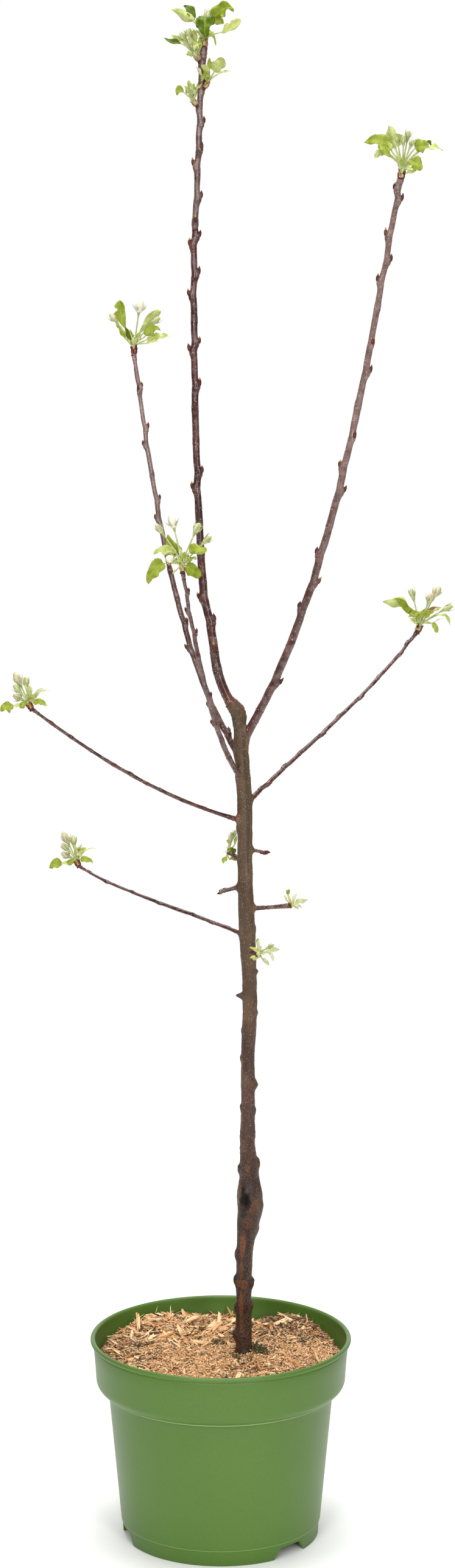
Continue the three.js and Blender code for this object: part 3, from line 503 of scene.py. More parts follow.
@dataclass
class Pile:
    """Faces gathered for one joined mesh."""

    verts: list[Array] = field(default_factory=list)
    faces: list[Array] = field(default_factory=list)
    slots: list[Array] = field(default_factory=list)
    count: int = 0

    def add(self, verts: Array, faces: Array, slots: Array | int) -> None:
        """Adds points, and faces that have one number of corners.

        Args:
            verts: Rows of points in millimetres.
            faces: Rows of corners, counted from this call's first point.
            slots: One material slot for all the faces, or one for each.
        """
        self.verts.append(verts)
        self.faces.append(faces + self.count)
        self.slots.append(np.broadcast_to(np.asarray(slots, np.int32), (len(faces),)))
        self.count += len(verts)

    def tube(self, rings: Array, slots: Array | int = 0, ends: tuple | None = None) -> None:
        """Adds a closed skin through rings of points.

        Args:
            rings: Points as ring, place round the ring, axis. The ends close with a fan.
            slots: One slot for all, or a grid as gap between rings, place round the ring.
            ends: The slots of the two fans, if they differ from those of the gaps beside them.
        """
        rows, sides, _ = rings.shape
        here = np.arange(sides)
        after = (here + 1) % sides
        last, hub, start = (rows - 1) * sides, rows * sides, self.count
        foot = np.arange(0, last, sides)[:, None]
        quads = np.stack([foot + here, foot + after, foot + after + sides, foot + here + sides], -1)
        grid = np.broadcast_to(np.asarray(slots, np.int32), (rows - 1, sides))
        points = [rings.reshape(-1, 3), rings[0].mean(0)[None], rings[-1].mean(0)[None]]
        self.add(np.concatenate(points), quads.reshape(-1, 4), grid.reshape(-1))
        near = [after, here, np.full(sides, hub)]
        far = [last + here, last + after, np.full(sides, hub + 1)]
        for fan, slot in zip((near, far), ends or (grid[0], grid[-1])):
            self.faces.append(np.stack(fan, -1) + start)
            self.slots.append(np.broadcast_to(np.asarray(slot, np.int32), (sides,)))

    def build(self, name: str, finishes: list[Finish], is_smooth: bool = True) -> bpy.types.Object:
        """Makes the joined mesh object, in the frame.

        Args:
            name: The piece's name.
            finishes: What each slot is finished in.
            is_smooth: Whether its faces shade smoothly.

        Returns:
            The object.
        """
        points = np.concatenate(self.verts) * MM + POT_AXIS
        corners = [face for faces in self.faces for face in faces.tolist()]
        mesh = bpy.data.meshes.new(name)
        mesh.from_pydata(points.tolist(), [], corners)
        mesh.polygons.foreach_set("material_index", np.concatenate(self.slots))
        mesh.polygons.foreach_set("use_smooth", np.full(len(corners), is_smooth))
        for finish in finishes:
            mesh.materials.append(finish.material())
        mesh.update()
        made = bpy.data.objects.new(name, mesh)
        bpy.context.scene.collection.objects.link(made)
        return made

    def hand_in(
        self, name: str, tones: tuple[Enum, ...], slot: str, *nodes: str, is_smooth: bool = True
    ) -> None:
        """Builds the piece, finished in one tone to a slot, and puts it on the body."""
        hand_in(self.build(name, [tone.value for tone in tones], is_smooth), slot, *nodes)


def hand_in(piece: bpy.types.Object, slot: str, *nodes: str) -> None:
    """Puts a finished piece on the tree's one body, in place of its solids.

    Args:
        piece: The piece.
        slot: The record's material slot; not used.
        nodes: The solids that it stands for.
    """
    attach(piece, "root")
    if nodes:
        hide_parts(*nodes)
    triangles = sum(len(p.vertices) - 2 for p in piece.data.polygons)
    LOG.info("%s: %d triangles", piece.name, triangles)


def steady_frames(path: Array) -> tuple[Array, Array, Array]:
    """Finds frames along a path that don't twist from one to the next.

    Args:
        path: Rows of points.

    Returns:
        Rows of vectors along, to the side and in depth.
    """
    along = unit(np.gradient(path, axis=0))
    side = np.array([1.0, 0.0, 0.0])
    sides = []
    for row in along:
        if abs(row @ side) > 0.95:
            side = np.array([0.0, 1.0, 0.0])
        side = square_to(row, side)
        sides.append(side)
    sides = np.array(sides)
    return along, sides, np.cross(sides, along)


def spoke(path: Array, turn: float) -> Array:
    """Gives the unit vector that looks out from a path's first point at a turn in radians."""
    _, side, depth = steady_frames(path[:2])
    return unit(side[0] * math.cos(turn) + depth[0] * math.sin(turn))


def ring_points(path: Array, radii: Array, sides: int) -> Array:
    """Lays a ring of points round each point of a path.

    Args:
        path: Rows of points.
        radii: A radius for each.
        sides: How many points to a ring.

    Returns:
        Points as ring, place round the ring, axis.
    """
    _, side, depth = steady_frames(path)
    turn = np.arange(sides) / sides * 2 * np.pi
    out = np.cos(turn)[None, :, None] * side[:, None] + np.sin(turn)[None, :, None] * depth[:, None]
    return path[:, None] + out * np.asarray(radii)[:, None, None]


def even(path: Array, radii: Array, pitch: float = 1.0) -> tuple[Array, Array]:
    """Spaces a path's points evenly.

    Args:
        path: Rows of points.
        radii: A radius for each.
        pitch: About how far apart the new points lie.

    Returns:
        The new points and radii.
    """
    reach = np.concatenate([[0.0], np.cumsum(np.linalg.norm(np.diff(path, axis=0), axis=1))])
    places = np.linspace(0, reach[-1], max(int(reach[-1] / pitch), 4) + 1)
    points = np.stack([np.interp(places, reach, path[:, k]) for k in range(3)], axis=1)
    return points, np.interp(places, reach, radii)


# ---------- trunk and limbs


@dataclass
class Limb:
    """A limb as a row of balls: its middle line and its radius along it."""

    name: str
    path: Array
    radii: Array

    @property
    def reach(self) -> Array:
        """How far along the limb each point lies."""
        steps = np.linalg.norm(np.diff(self.path, axis=0), axis=1)
        return np.concatenate([[0.0], np.cumsum(steps)])

    def at_height(self, height: float) -> int:
        """Finds the point of the limb nearest to a height."""
        return int(np.argmin(np.abs(self.path[:, 2] - height)))

    def at_share(self, share: float) -> int:
        """Finds the point of the limb at a share of its length."""
        return int(round(share * (len(self.path) - 1)))

    def scars(self, rows: tuple) -> list[tuple]:
        """Finds the limb's point for each ring scar's height, how proud it is and half-width."""
        return [(self.at_height(height), proud, half) for height, proud, half in rows]

    def gap(self, points: Array) -> Array:
        """Measures how far points lie outside the limb's skin."""
        away = np.linalg.norm(points[:, None] - self.path[None, ::2], axis=2)
        return (away - self.radii[None, ::2]).min(axis=1)


def station_limb(name: str, stations: tuple[tuple[float, ...], ...]) -> Limb:
    """Runs a smooth limb through stations by the source's centripetal curve.

    Args:
        name: The limb's name.
        stations: Right, back, height and radius of each.

    Returns:
        The limb.
    """
    rows = np.array(stations)
    p = np.vstack([2 * rows[0, :3] - rows[1, :3], rows[:, :3], 2 * rows[-1, :3] - rows[-2, :3]])
    share = np.linspace(0, 1, 24, endpoint=False)[:, None]
    square, cube = share**2, share**3
    points, radii = [], []
    for i in range(len(rows) - 1):
        a, b, c, d = p[i : i + 4]
        before, here, after = (np.linalg.norm(y - x) ** 0.5 for x, y in ((a, b), (b, c), (c, d)))
        out = ((b - a) / before - (c - a) / (before + here) + (c - b) / here) * here
        into = ((c - b) / here - (d - b) / (here + after) + (d - c) / after) * here
        bend = (3 * (c - b) - 2 * out - into) * square + (2 * (b - c) + out + into) * cube
        points.append(b + out * share + bend)
        radii.append(rows[i, 3] + (rows[i + 1, 3] - rows[i, 3]) * smooth(0, 1, share[:, 0]))
    points.append(rows[-1:, :3])
    radii.append(rows[-1:, 3])
    return Limb(name, *even(np.concatenate(points), np.concatenate(radii)))


@dataclass(frozen=True)
class BoughSize:
    """A bough's sizes, as the source gives them, with its resting buds by height and heading.

    `leave` and `arrive` are its rise in degrees at the foot and the tip, `handles` the reach of
    its curve's two handles as shares of its chord, and `rings` the shares of its ring scars.
    """

    name: str
    foot: float
    heading: float
    reach: float
    top: float
    leave: float
    arrive: float
    swing: float
    handles: tuple[float, float]
    radii: tuple[float, float]
    buds: tuple[tuple[float, float], ...] = ()
    rings: tuple[float, ...] = (0.05, 0.07, 0.965, 0.985)

    def limb(self, trunk: Limb) -> Limb:
        """Runs the bough from the middle of the trunk to its tip.

        Args:
            trunk: The trunk that it leaves.

        Returns:
            The limb.
        """
        foot = trunk.path[trunk.at_height(self.foot)]
        tip = foot + direction(self.heading) * self.reach
        tip[2] = self.top
        chord = np.linalg.norm(tip - foot)
        first = foot + direction(self.heading + self.swing, self.leave) * self.handles[0] * chord
        last = tip - direction(self.heading - 0.4 * self.swing, self.arrive) * self.handles[1] * chord
        share = np.linspace(0, 1, 121)
        swell = 0.45 * bell(share * chord, 9)
        end = 0.3 * bell((1 - share) * chord, 6)
        radii = (self.radii[0] + (self.radii[1] - self.radii[0]) * share) * (1 + swell + end)
        return Limb(self.name, *even(bezier([foot, first, last, tip], share), radii))


# A side shoot has no resting buds but close ring scars towards its tip.
SHORT = ((), (0.42, 0.52, 0.61, 0.69, 0.76, 0.83, 0.89, 0.94))
BOUGHS = (
    BoughSize(
        "bough_right_upright", 679.5, -37, 154, 1138.4, 57, 77, 10, (0.32, 0.29), (3.5, 2.2),
        ((1131, 180), (1123, 0), (1094, 175), (1076, 5), (1059, 185), (1040, 80), (1012, -70),
         (988, 10), (962, 95), (937, -60), (912, 180), (893, 0), (866, 85), (840, 180), (818, 0),
         (795, 180), (767, -90), (733, 0)),
    ),
    BoughSize(
        "bough_left_upright", 666.6, 127, 149.7, 990, 43, 75, 8, (0.31, 0.26), (2.6, 1.75),
        ((963, 0), (960, -95), (929, 0), (916, 180), (893, 80), (871, 0), (856, 180), (836, 90),
         (815, -90), (793, 80), (772, 0), (752, 180), (728, 95), (707, 200), (686, 0)),
    ),
    BoughSize(
        "bough_front_left", 649.7, -118, 103, 832.6, 37, 71, -6, (0.24, 0.35), (2.4, 1.4),
        ((816, 0), (800, 180), (781, 0), (763, -90), (745, 90), (727, 0), (703, 180), (688, 80),
         (673, -90)),
    ),
    BoughSize(
        "bough_right_spread", 628.3, 34, 175.7, 758.2, 36, 44, -3, (0.4, 0.33), (1.9, 1.35),
        ((749, 150), (741, -60), (724, 110), (708, -50), (694, 130), (681, -40), (667, 110),
         (656, 150), (644, -50), (640, 130)),
    ),
    BoughSize(
        "bough_left_spread", 614.2, -160, 182.5, 718.4, 18, 38, 0, (0.35, 0.37), (1.7, 1.2),
        ((706, 90), (694, -70), (682, 100), (669, -80), (660, 70), (652, -90), (646, 90),
         (636, -80), (628, 80)),
    ),
    BoughSize(
        "bough_lower_left", 517.2, 146, 172.6, 557.2, 15, 26, 1, (0.28, 0.22), (1.7, 1.1),
        ((553, 60), (547, -100), (541, 70), (535, -110), (529, 60), (525, -100), (522, 80)),
    ),
    BoughSize("spur_right", 541, -17, 36.5, 545.4, 2, 8, 0, (0.33, 0.33), (1.75, 1.6), *SHORT),
    BoughSize("spur_back_left", 576, 126, 20, 584.2, 35, 8, 4, (0.4, 0.3), (1.9, 1.5), *SHORT),
    BoughSize("spur_front_right", 503, -67, 17.5, 505.4, 12, 4, 0, (0.33, 0.33), (2.1, 1.7), *SHORT),
    BoughSize("stub_left", 560.2, 180, 21.6, 554.8, -12, -14, 0, (0.33, 0.33), (1.8, 1.2), *SHORT),
    BoughSize("stub_right", 591.3, -9, 19.2, 588.4, -6, -10, 0, (0.33, 0.33), (1.5, 0.9), *SHORT),
)
LEADER_BUDS = (
    (1182, 0), (1161, -50), (1148, 180), (1123, 0), (1103, -90), (1092, 0), (1085, 180),
    (1061, 0), (1044, 180), (1025, 85), (1006, 0), (1000, 180), (972, 0), (954, -95),
    (928, 90), (902, 0), (889, 180), (862, 85), (838, -80), (815, 90), (800, 180), (781, 0),
    (758, -85),
)


@dataclass(frozen=True)
class BarkMark:
    """A patch of bark with another tone: 0 rubbed orange, 1 olive, 2 dark, for old wounds, darker bark
    and painted shade.
    """

    height: float
    heading: float
    half_height: float
    half_turn: float
    tone: int
    strength: float = 1.0


@dataclass(frozen=True)
class Relief:
    """What a limb's skin shows in relief.

    A swelling has its height, heading, how far proud it is, its half-length and how deep its
    scar's dimple is. A ring scar has the limb's point that it is at, how far proud it is and
    its half-width. `rough` is how much of the trunk's roughness the skin has.
    """

    sides: int
    swellings: tuple
    scars: list
    seed: int
    fillet: float = 3.0
    rough: float = 0.4


@dataclass
class Woodwork:
    """The trunk, the leader and the boughs, each a skin with its bark's relief."""

    trunk_stations: tuple = (
        (19.9, 8.1, 151.0, 8.0), (19.9, 8.0, 154.8, 7.7), (19.8, 7.8, 168.0, 6.6),
        (19.4, 7.2, 205.0, 6.5), (20.4, 6.6, 245.0, 7.0), (23.4, 6.3, 276.0, 9.4),
        (24.4, 6.0, 294.0, 10.8), (23.9, 5.7, 313.0, 8.2), (22.6, 5.4, 338.0, 6.4),
        (22.8, 4.9, 372.0, 5.85), (22.9, 4.3, 417.0, 5.85), (24.3, 3.6, 468.0, 5.9),
        (21.6, 2.8, 527.0, 6.6), (20.0, 1.9, 585.0, 6.0), (19.9, 1.3, 626.0, 6.0),
        (17.4, 0.7, 667.0, 5.6), (15.2, 0.3, 695.0, 5.2), (12.2, 0.1, 708.5, 4.8),
        (8.7, 0.0, 713.8, 4.3),
    )
    leader_stations: tuple = (
        (11.5, 0.0, 709.5, 4.2), (6.0, 0.1, 717.5, 4.1), (-2.0, 0.7, 738.0, 3.8),
        (-6.9, 1.5, 769.0, 3.5), (-13.4, 2.5, 804.0, 3.3), (-17.2, 4.0, 860.0, 3.1),
        (-20.0, 6.2, 936.0, 2.8), (-21.2, 8.6, 1020.0, 2.7), (-21.0, 10.4, 1083.0, 2.6),
        (-17.8, 12.3, 1150.0, 2.45), (-16.6, 13.5, 1190.0, 2.4), (-14.8, 14.4, 1220.0, 2.4),
        (-13.2, 15.0, 1240.5, 3.0),
    )
    # Height, heading, how far proud, half-length and how deep the scar's dimple is.
    knobs: tuple = (
        (172, 180, 4.4, 4.2, 0.5), (196, 178, 2.6, 4.0, 0.3), (218, -4, 2.6, 4.2, 0.4),
        (220, 172, 2.2, 4.5, 0.3), (198, -2, 2.8, 4.0, 0.4), (243, 190, 1.8, 4.0, 0.2),
        (265, 4, 1.4, 5.0, 0.0), (283, -8, 2.0, 8.0, 0.0), (318, 176, 2.4, 3.6, 0.4),
        (323, 6, 2.8, 4.2, 0.3), (390, 2, 1.4, 3.0, 0.0), (467, 184, 5.6, 2.2, 0.0),
        (487, 2, 1.8, 1.7, 0.0), (452, 4, 1.0, 2.4, 0.0), (437, 178, 0.8, 2.4, 0.0),
        (413, 182, 1.2, 3.0, 0.0), (392, -3, 1.6, 3.4, 0.2), (368, 2, 1.0, 3.0, 0.0),
        (371, 178, 1.2, 3.0, 0.0), (232, 60, 2.2, 4.0, 0.3), (256, 110, 2.0, 4.0, 0.3),
        (208, 100, 2.0, 4.0, 0.3), (430, 88, 1.5, 3.0, 0.2), (505, 95, 1.6, 3.0, 0.2),
        (524, 4, 0.9, 3.6, 0.2), (293, -112, -3.4, 3.4, 0.0), (287, -122, -1.6, 3.2, 0.0),
        (299.5, -112, 1.7, 2.4, 0.0), (292, -92, 1.5, 2.6, 0.0), (283, -106, 1.3, 2.6, 0.0),
        (291, -134, 1.3, 3.0, 0.0), (706, 8, 2.0, 6.0, 0.0), (700, 30, 1.2, 5.0, 0.0),
        (609, -170, 1.5, 4.0, 0.0), (614, 60, 1.0, 4.0, 0.0),
    )
    # Height, how proud and half-width of each ring of old scale scars.
    trunk_rings: tuple = (
        (345, 0.5, 2.0), (335, 0.45, 1.6), (219, 1.0, 3.2), (331, 0.4, 1.2), (349, 0.35, 0.9),
        (704, 0.5, 0.9), (701, 0.4, 0.7), (707, 0.4, 0.8),
    )
    leader_rings: tuple = (
        (741, 0.5, 1.6), (744, 0.4, 0.8), (738, 0.35, 0.7), (891, 0.35, 0.9), (893, 0.25, 0.6),
        (1101, 0.4, 0.8), (1103, 0.35, 0.7), (1105, 0.3, 0.6), (1236, 0.5, 0.7), (1233, 0.4, 0.6),
    )
    # Swellings under the leader's side clusters and of its rough upper end.
    knuckles: tuple = (
        (1226, 180, 1.1, 2.2, 0.1), (1206, 0, 1.2, 2.2, 0.1), (1192, 180, 1.1, 2.2, 0.1),
        (1218, 20, 0.7, 1.6, 0.1), (1233, -60, 0.7, 1.5, 0.1), (1200, -100, 0.6, 1.6, 0.1),
        (1237, 120, 0.8, 1.5, 0.1), (1214, -80, 0.6, 1.4, 0.1), (1222, -20, 0.6, 1.3, 0.1),
    )
    # The trunk's marks, as rows of BarkMark. The dark marks near 290 mm at heading about -110 are the
    # wound, with painted shade in its hollow and in the patch below it.
    marks: tuple = (
        (252, -112, 14, 24, 0), (230, -112, 8, 20, 0, 0.8), (217, -105, 4, 45, 0, 0.9),
        (200, -112, 12, 22, 0), (183, -108, 8, 18, 0, 0.5), (286, -66, 8, 18, 0, 0.75),
        (272, -95, 6, 40, 0, 0.5), (299, -150, 7, 24, 0, 0.5), (292, -113, 8, 26, 2, 1.0),
        (283, -116, 10, 20, 2, 0.75), (287, -101, 4, 13, 2, 0.9), (300, -122, 4.5, 12, 2, 1.0),
        (292, -60, 30, 150, 2, 0.22), (185, 0, 75, 400, 2, 0.27), (297, -95, 3, 30, 2, 0.5),
        (160, -90, 12, 200, 2, 0.35), (323, 6, 6, 26, 0, 0.2), (318, -100, 6, 20, 0, 0.3),
        (525, 0, 95, 400, 1, 0.5), (640, -10, 90, 120, 1, 0.8), (277, -105, 20, 70, 2, 0.5),
        (610, 190, 60, 70, 1, 0.25), (670, -100, 60, 100, 1, 0.6), (648, -125, 7, 34, 0, 0.25),
        (709, 20, 6, 90, 0, 0.15), (680, -35, 7, 26, 0, 0.5), (541, -17, 6, 30, 0, 0.5),
        (657, -120, 8, 20, 2, 0.4), (617, -160, 6, 30, 0, 0.4), (630, 20, 7, 30, 0, 0.5),
        (517, 160, 6, 30, 0, 0.4), (205, -38, 95, 26, 1, 0.55), (275, -40, 40, 28, 1, 0.5),
        (640, -66, 75, 17, 2, 0.4), (560, -100, 50, 12, 2, 0.2),
    )
    # How far a fillet reaches: the steps of a bough from its foot, and the room round it.
    weld_steps: int = 26
    weld_room: float = 22.0
    # The heights between which the corky dots and the finer grain set in.
    corky_from: tuple[float, float] = (290, 360)
    # How proud a bough's ring scar is, and its half-width.
    bough_ring: tuple[float, float] = (0.35, 0.55)
    # A resting bud's length and half-width, how proud the swelling under it is and its
    # half-length, and the mean radius of a shoot that has them at this size.
    bud_size: tuple[float, float] = (4.2, 1.4)
    bud_swelling: tuple[float, float] = (1.3, 3.4)
    shoot_radius: float = 2.6
    # Half-widths along a resting bud.
    bud_shape: tuple[float, ...] = (0.55, 0.9, 1.08, 1.1, 1.0, 0.84, 0.62, 0.38, 0.08)
    # Which boughs share one piece, and how grey their skin is, as paint has it.
    groups: dict = field(
        default_factory=lambda: {
            "upright_boughs_bark": ((0.16, 0.5, 780, 960), BOUGHS[:3]),
            "spread_boughs_bark": ((0.05, 0.15, 600, 760), BOUGHS[3:6]),
            "spurs_bark": ((0.2, 0.2, 0, 1), BOUGHS[6:]),
        }
    )
    trunk: Limb = field(init=False)
    leader: Limb = field(init=False)
    boughs: dict[str, Limb] = field(default_factory=dict)

    def __post_init__(self) -> None:
        """Runs the middle lines of all the limbs."""
        self.trunk = station_limb("trunk", self.trunk_stations)
        self.leader = station_limb("leader", self.leader_stations)
        for size in BOUGHS:
            self.boughs[size.name] = size.limb(self.trunk)

    @property
    def limbs(self) -> list[Limb]:
        """All the limbs, the trunk first."""
        return [self.trunk, self.leader, *self.boughs.values()]

    def weld(
        self, points: Array, out: Array, limb: Limb, others: list[Limb], round_off: float
    ) -> Array:
        """Draws a limb's skin out into a fillet where it meets others.

        Args:
            points: The skin's points.
            out: The way each looks.
            limb: The limb that the skin is on.
            others: The limbs that it meets.
            round_off: How wide the fillet is.

        Returns:
            How far each point moves out.
        """
        moved = np.zeros(len(points))
        for other in others:
            path = other.path if other is self.trunk else other.path[: self.weld_steps]
            low, high = path.min(0) - self.weld_room, path.max(0) + self.weld_room
            near = np.where(np.all((points > low) & (points < high), axis=1))[0]
            if not len(near):
                continue
            at = points[near] + out[near] * moved[near, None]
            push = moved[near].copy()
            for _ in range(4):
                mine, theirs = limb.gap(at), other.gap(at)
                share = np.clip(0.5 + 0.5 * (theirs - mine) / round_off, 0, 1)
                both = theirs * (1 - share) + mine * share - round_off * share * (1 - share)
                push = np.clip(push - 0.8 * both, moved[near], moved[near] + 0.6 * round_off)
                at = points[near] + out[near] * push[:, None]
            moved[near] = push
        return moved

    def skin(self, limb: Limb, others: list[Limb], relief: Relief) -> Array:
        """Makes a limb's skin with its bark's relief.

        Args:
            limb: The limb.
            others: The limbs that it meets.
            relief: What its bark shows.

        Returns:
            Points as ring, place round the ring, axis.
        """
        rough, seed = relief.rough, relief.seed
        base = ring_points(limb.path, limb.radii, relief.sides)
        flat = base.reshape(-1, 3)
        out = unit(flat - np.repeat(limb.path, relief.sides, axis=0))
        along = np.repeat(steady_frames(limb.path)[0], relief.sides, axis=0)
        radius, reach = np.repeat(limb.radii, relief.sides), np.repeat(limb.reach, relief.sides)
        rise = np.zeros(len(flat))
        sway = np.zeros_like(flat)
        for height, heading, proud, half, dimple in relief.swellings:
            at = limb.at_height(height)
            axis = along[at * relief.sides]
            facing = square_to(axis, direction(heading))
            spot = limb.path[at] + facing * limb.radii[at]
            step = (flat - spot) @ axis
            aside = np.linalg.norm(flat - spot - step[:, None] * axis, axis=1)
            wide = max(half * 0.8, 0.9)
            below = np.where(step < 0, 1.35, 0.8)
            away = (step / (half * below)) ** 2 + (aside / wide) ** 2
            if proud < -1:
                away = np.maximum(away + 0.8 * lattice_noise(flat / 1.5, seed + 9), 0.0)
            rise += proud * (np.exp(-(away**1.2)) - dimple * np.exp(-away * 5))
            if rough < 1 and not dimple:
                sway += facing * (0.6 * bell(step, half * 1.6))[:, None]
                rise += 0.22 * bell(step + half * 0.9, 0.7) * (aside < 2.2 * limb.radii[at])
        for at, proud, half in relief.scars:
            uneven = 0.7 + 0.3 * lattice_noise(flat / 1.4, seed + 5)
            rise += proud * bell(reach - limb.reach[at], half) * uneven
        stretch = flat * (1 - 0.8 * np.abs(along))
        rise += rough * 0.42 * lattice_noise(flat / 10, seed)
        rise += rough * 0.26 * lattice_noise(stretch / 2.8, seed + 1)
        rise += rough * 0.15 * lattice_noise(flat / 1.5, seed + 2)
        rise = np.maximum(rise, -0.45 * radius)
        rise = rise + self.weld(flat, out, limb, others, relief.fillet)
        return (flat + sway + out * rise[:, None]).reshape(base.shape)

    def paint(self, piece: bpy.types.Object, marks: tuple, bloom: tuple = ()) -> None:
        """Paints the bark's marks on the points of a piece.

        Args:
            piece: The piece.
            marks: The trunk's patches; a piece with none fades into the trunk.
            bloom: How grey a shoot's skin is low and high, and between which heights it changes.
        """
        count = len(piece.data.vertices)
        points = np.empty(count * 3)
        piece.data.vertices.foreach_get("co", points)
        points = (points.reshape(-1, 3) - POT_AXIS) / MM
        tones = np.zeros((count, 4))
        tones[:, 3] = 0.15 + 0.85 * smooth(*self.corky_from, points[:, 2])
        ragged = 0.35 * lattice_noise(points / 3.5, 71)
        if marks:
            path = self.trunk.path
            out = points - path[np.searchsorted(path[:, 2], points[:, 2]).clip(0, len(path) - 1)]
            turn = np.degrees(np.arctan2(out[:, 1], out[:, 0]))
        else:
            near = self.trunk.gap(points) + 3 * ragged
            tones[:, 0] = 0.55 * (1 - smooth(2.0, 10.0, near))
            low, high, start, end = bloom
            grey = low + (high - low) * smooth(start, end, points[:, 2]) + 0.7 * ragged
            tones[:, 1] = np.clip(grey, 0, 0.95) * smooth(4.0, 16.0, near)
        for mark in (BarkMark(*row) for row in marks):
            aside = (turn - mark.heading + 180) % 360 - 180
            above = points[:, 2] - mark.height
            away = (above / mark.half_height) ** 2 + (aside / mark.half_turn) ** 2
            cover = mark.strength * (1 - smooth(0.6, 1.15, away + ragged))
            tones[:, mark.tone] = np.maximum(tones[:, mark.tone], cover)
        layer = piece.data.color_attributes.new("marks", "FLOAT_COLOR", "POINT")
        layer.data.foreach_set("color", tones.reshape(-1))

    def build(self) -> None:
        """Builds the trunk, the leader, the boughs and the resting buds."""
        pile = Pile()
        scars = self.trunk.scars(self.trunk_rings)
        relief = Relief(56, self.knobs, scars, seed=3, fillet=4.5, rough=1.0)
        pile.tube(self.skin(self.trunk, self.limbs[1:], relief))
        trunk = pile.build("trunk_bark", [TRUNK_BARK])
        self.paint(trunk, self.marks)
        hand_in(trunk, "bark", "trunk")
        buds, pile = Pile(), Pile()
        relief = Relief(24, self.knuckles, self.leader.scars(self.leader_rings), seed=11)
        self.grow(pile, buds, self.leader, LEADER_BUDS, relief)
        self.sheathe(pile, "leader_bark", (0.05, 0.3, 1085, 1110), "leader")
        for group, (bloom, sizes) in self.groups.items():
            pile = Pile()
            for size in sizes:
                limb = self.boughs[size.name]
                scars = [(limb.at_share(share), *self.bough_ring) for share in size.rings]
                self.grow(pile, buds, limb, size.buds, Relief(20, (), scars, seed=17))
                if size.name.startswith("stub"):
                    self.tip_buds(buds, limb)
            self.sheathe(pile, group, bloom, *[size.name for size in sizes])
        buds.hand_in("resting_buds", (SCALE_DARK, BUD_RED, SCALE_TAN), "shoots")

    def sheathe(self, pile: Pile, name: str, bloom: tuple, *nodes: str) -> None:
        """Builds one piece of shoot bark.

        Args:
            pile: Its faces.
            name: The piece's name.
            bloom: How grey its skin is, as paint has it.
            nodes: The solids that it stands for.
        """
        piece = pile.build(name, [SHOOT_BARK])
        self.paint(piece, (), bloom)
        hand_in(piece, "shoots", *nodes)

    def grow(self, pile: Pile, buds: Pile, limb: Limb, places: tuple, relief: Relief) -> None:
        """Adds one limb with its nodes and resting buds.

        Args:
            pile: Where the limb's skin goes.
            buds: Where its buds go.
            limb: The limb.
            places: Height and heading of each bud.
            relief: Its relief, but for the swellings under its buds.
        """
        scale = float(np.clip(limb.radii.mean() / self.shoot_radius, 0.6, 1.05))
        (long_, wide), (proud, half) = self.bud_size, self.bud_swelling
        nodes = [(height, heading, proud * scale, half * scale, 0.0) for height, heading in places]
        relief = replace(relief, swellings=(*nodes, *relief.swellings))
        pile.tube(self.skin(limb, [self.trunk], relief))
        for i, (height, heading) in enumerate(places):
            at = limb.at_height(height)
            axis = steady_frames(limb.path)[0][at]
            facing = square_to(axis, direction(heading))
            foot = limb.path[at] + facing * (limb.radii[at] + 1.0 * scale) + axis * 0.8
            size = ((long_ + (i * 7 % 5) * 0.3) * scale, wide * scale)
            self.bud(buds, foot, axis, facing, size, i)

    def bud(self, pile: Pile, foot: Array, axis: Array, facing: Array, size: tuple, i: int) -> None:
        """Adds one resting bud: a small egg of dark scales with a paler tip.

        Args:
            pile: Where it goes.
            foot: Where it stands.
            axis: The way its shoot looks.
            facing: The way it leans.
            size: Its length and half-width.
            i: Which bud it is, for its tones.
        """
        tip = foot + unit(axis + facing * (0.02 + 0.12 * (i % 3))) * size[0]
        share = np.linspace(0, 1, len(self.bud_shape))
        path = bezier([foot - axis * 1.6 - facing * 0.3, foot + facing * 0.5 + axis * 1.0, tip], share)
        rings = ring_points(path, np.array(self.bud_shape) * size[1], 10)
        ridge = 1 + 0.10 * np.cos(np.arange(10)[None, :] * 2.6 + 9 * share[:, None])
        rings = path[:, None] + (rings - path[:, None]) * ridge[..., None]
        middle, top = (0, 0, 1, 0)[i % 4], (2, 0, 2, 1, 2, 0)[i % 6]
        level = np.where(share[:-1] < 0.35, 0, np.where(share[:-1] < 0.75, middle, top))
        pile.tube(rings, level[:, None], (0, 0))

    def tip_buds(self, pile: Pile, limb: Limb) -> None:
        """Adds the knot of three red buds at a bare stub's tip.

        Args:
            pile: Where they go.
            limb: The stub.
        """
        axis = steady_frames(limb.path)[0][-1]
        for i, turn in enumerate((80, 200, 320)):
            facing = unit(np.cross(axis, direction(turn, 40)))
            foot = limb.path[-2 - 2 * i] + facing * limb.radii[-1] * 0.7
            self.bud(pile, foot, axis, facing, (3.4, 1.25), 3 * i + 1)


# ---------- leaf clusters


class Form(Enum):
    """A blade's outline: powers of the share from the start and from the tip, tooth depth."""

    OVATE = (0.55, 0.85, 0.05)
    ROUND = (0.42, 0.5, 0.05)
    LANCE = (0.9, 1.0, 0.04)
    HEART = (0.32, 0.8, 0.05)
    SPOON = (1.1, 0.55, 0.045)


OVATE, ROUND, LANCE, HEART, SPOON = Form


@dataclass(frozen=True)
class Leaf:
    """A leaf by the source's rule: its tip and its blade's start from the cluster's foot."""

    tip: tuple[float, float, float]
    start: tuple[float, float, float]
    width: float
    show: float
    arch: float
    tone: Tissue = FRESH
    form: Form = OVATE
    curl: float = 0.0
    lobe: float = 0.0


@dataclass(frozen=True)
class Blossom:
    """A closed blossom bud by the source's rule: its top from the cluster's foot."""

    tip: tuple[float, float, float]
    length: float
    width: float
    petal: Tissue = UNRIPE


STALK_SHARE_BACK = 0.45


def leaf(
    right: float, up: float, back: float, start_right: float, start_up: float, *rest: float | Enum
) -> Leaf:
    """Writes a leaf's row in the source's order; its width, show, arch and looks follow."""
    return Leaf((right, back, up), (start_right, STALK_SHARE_BACK * back, start_up), *rest)


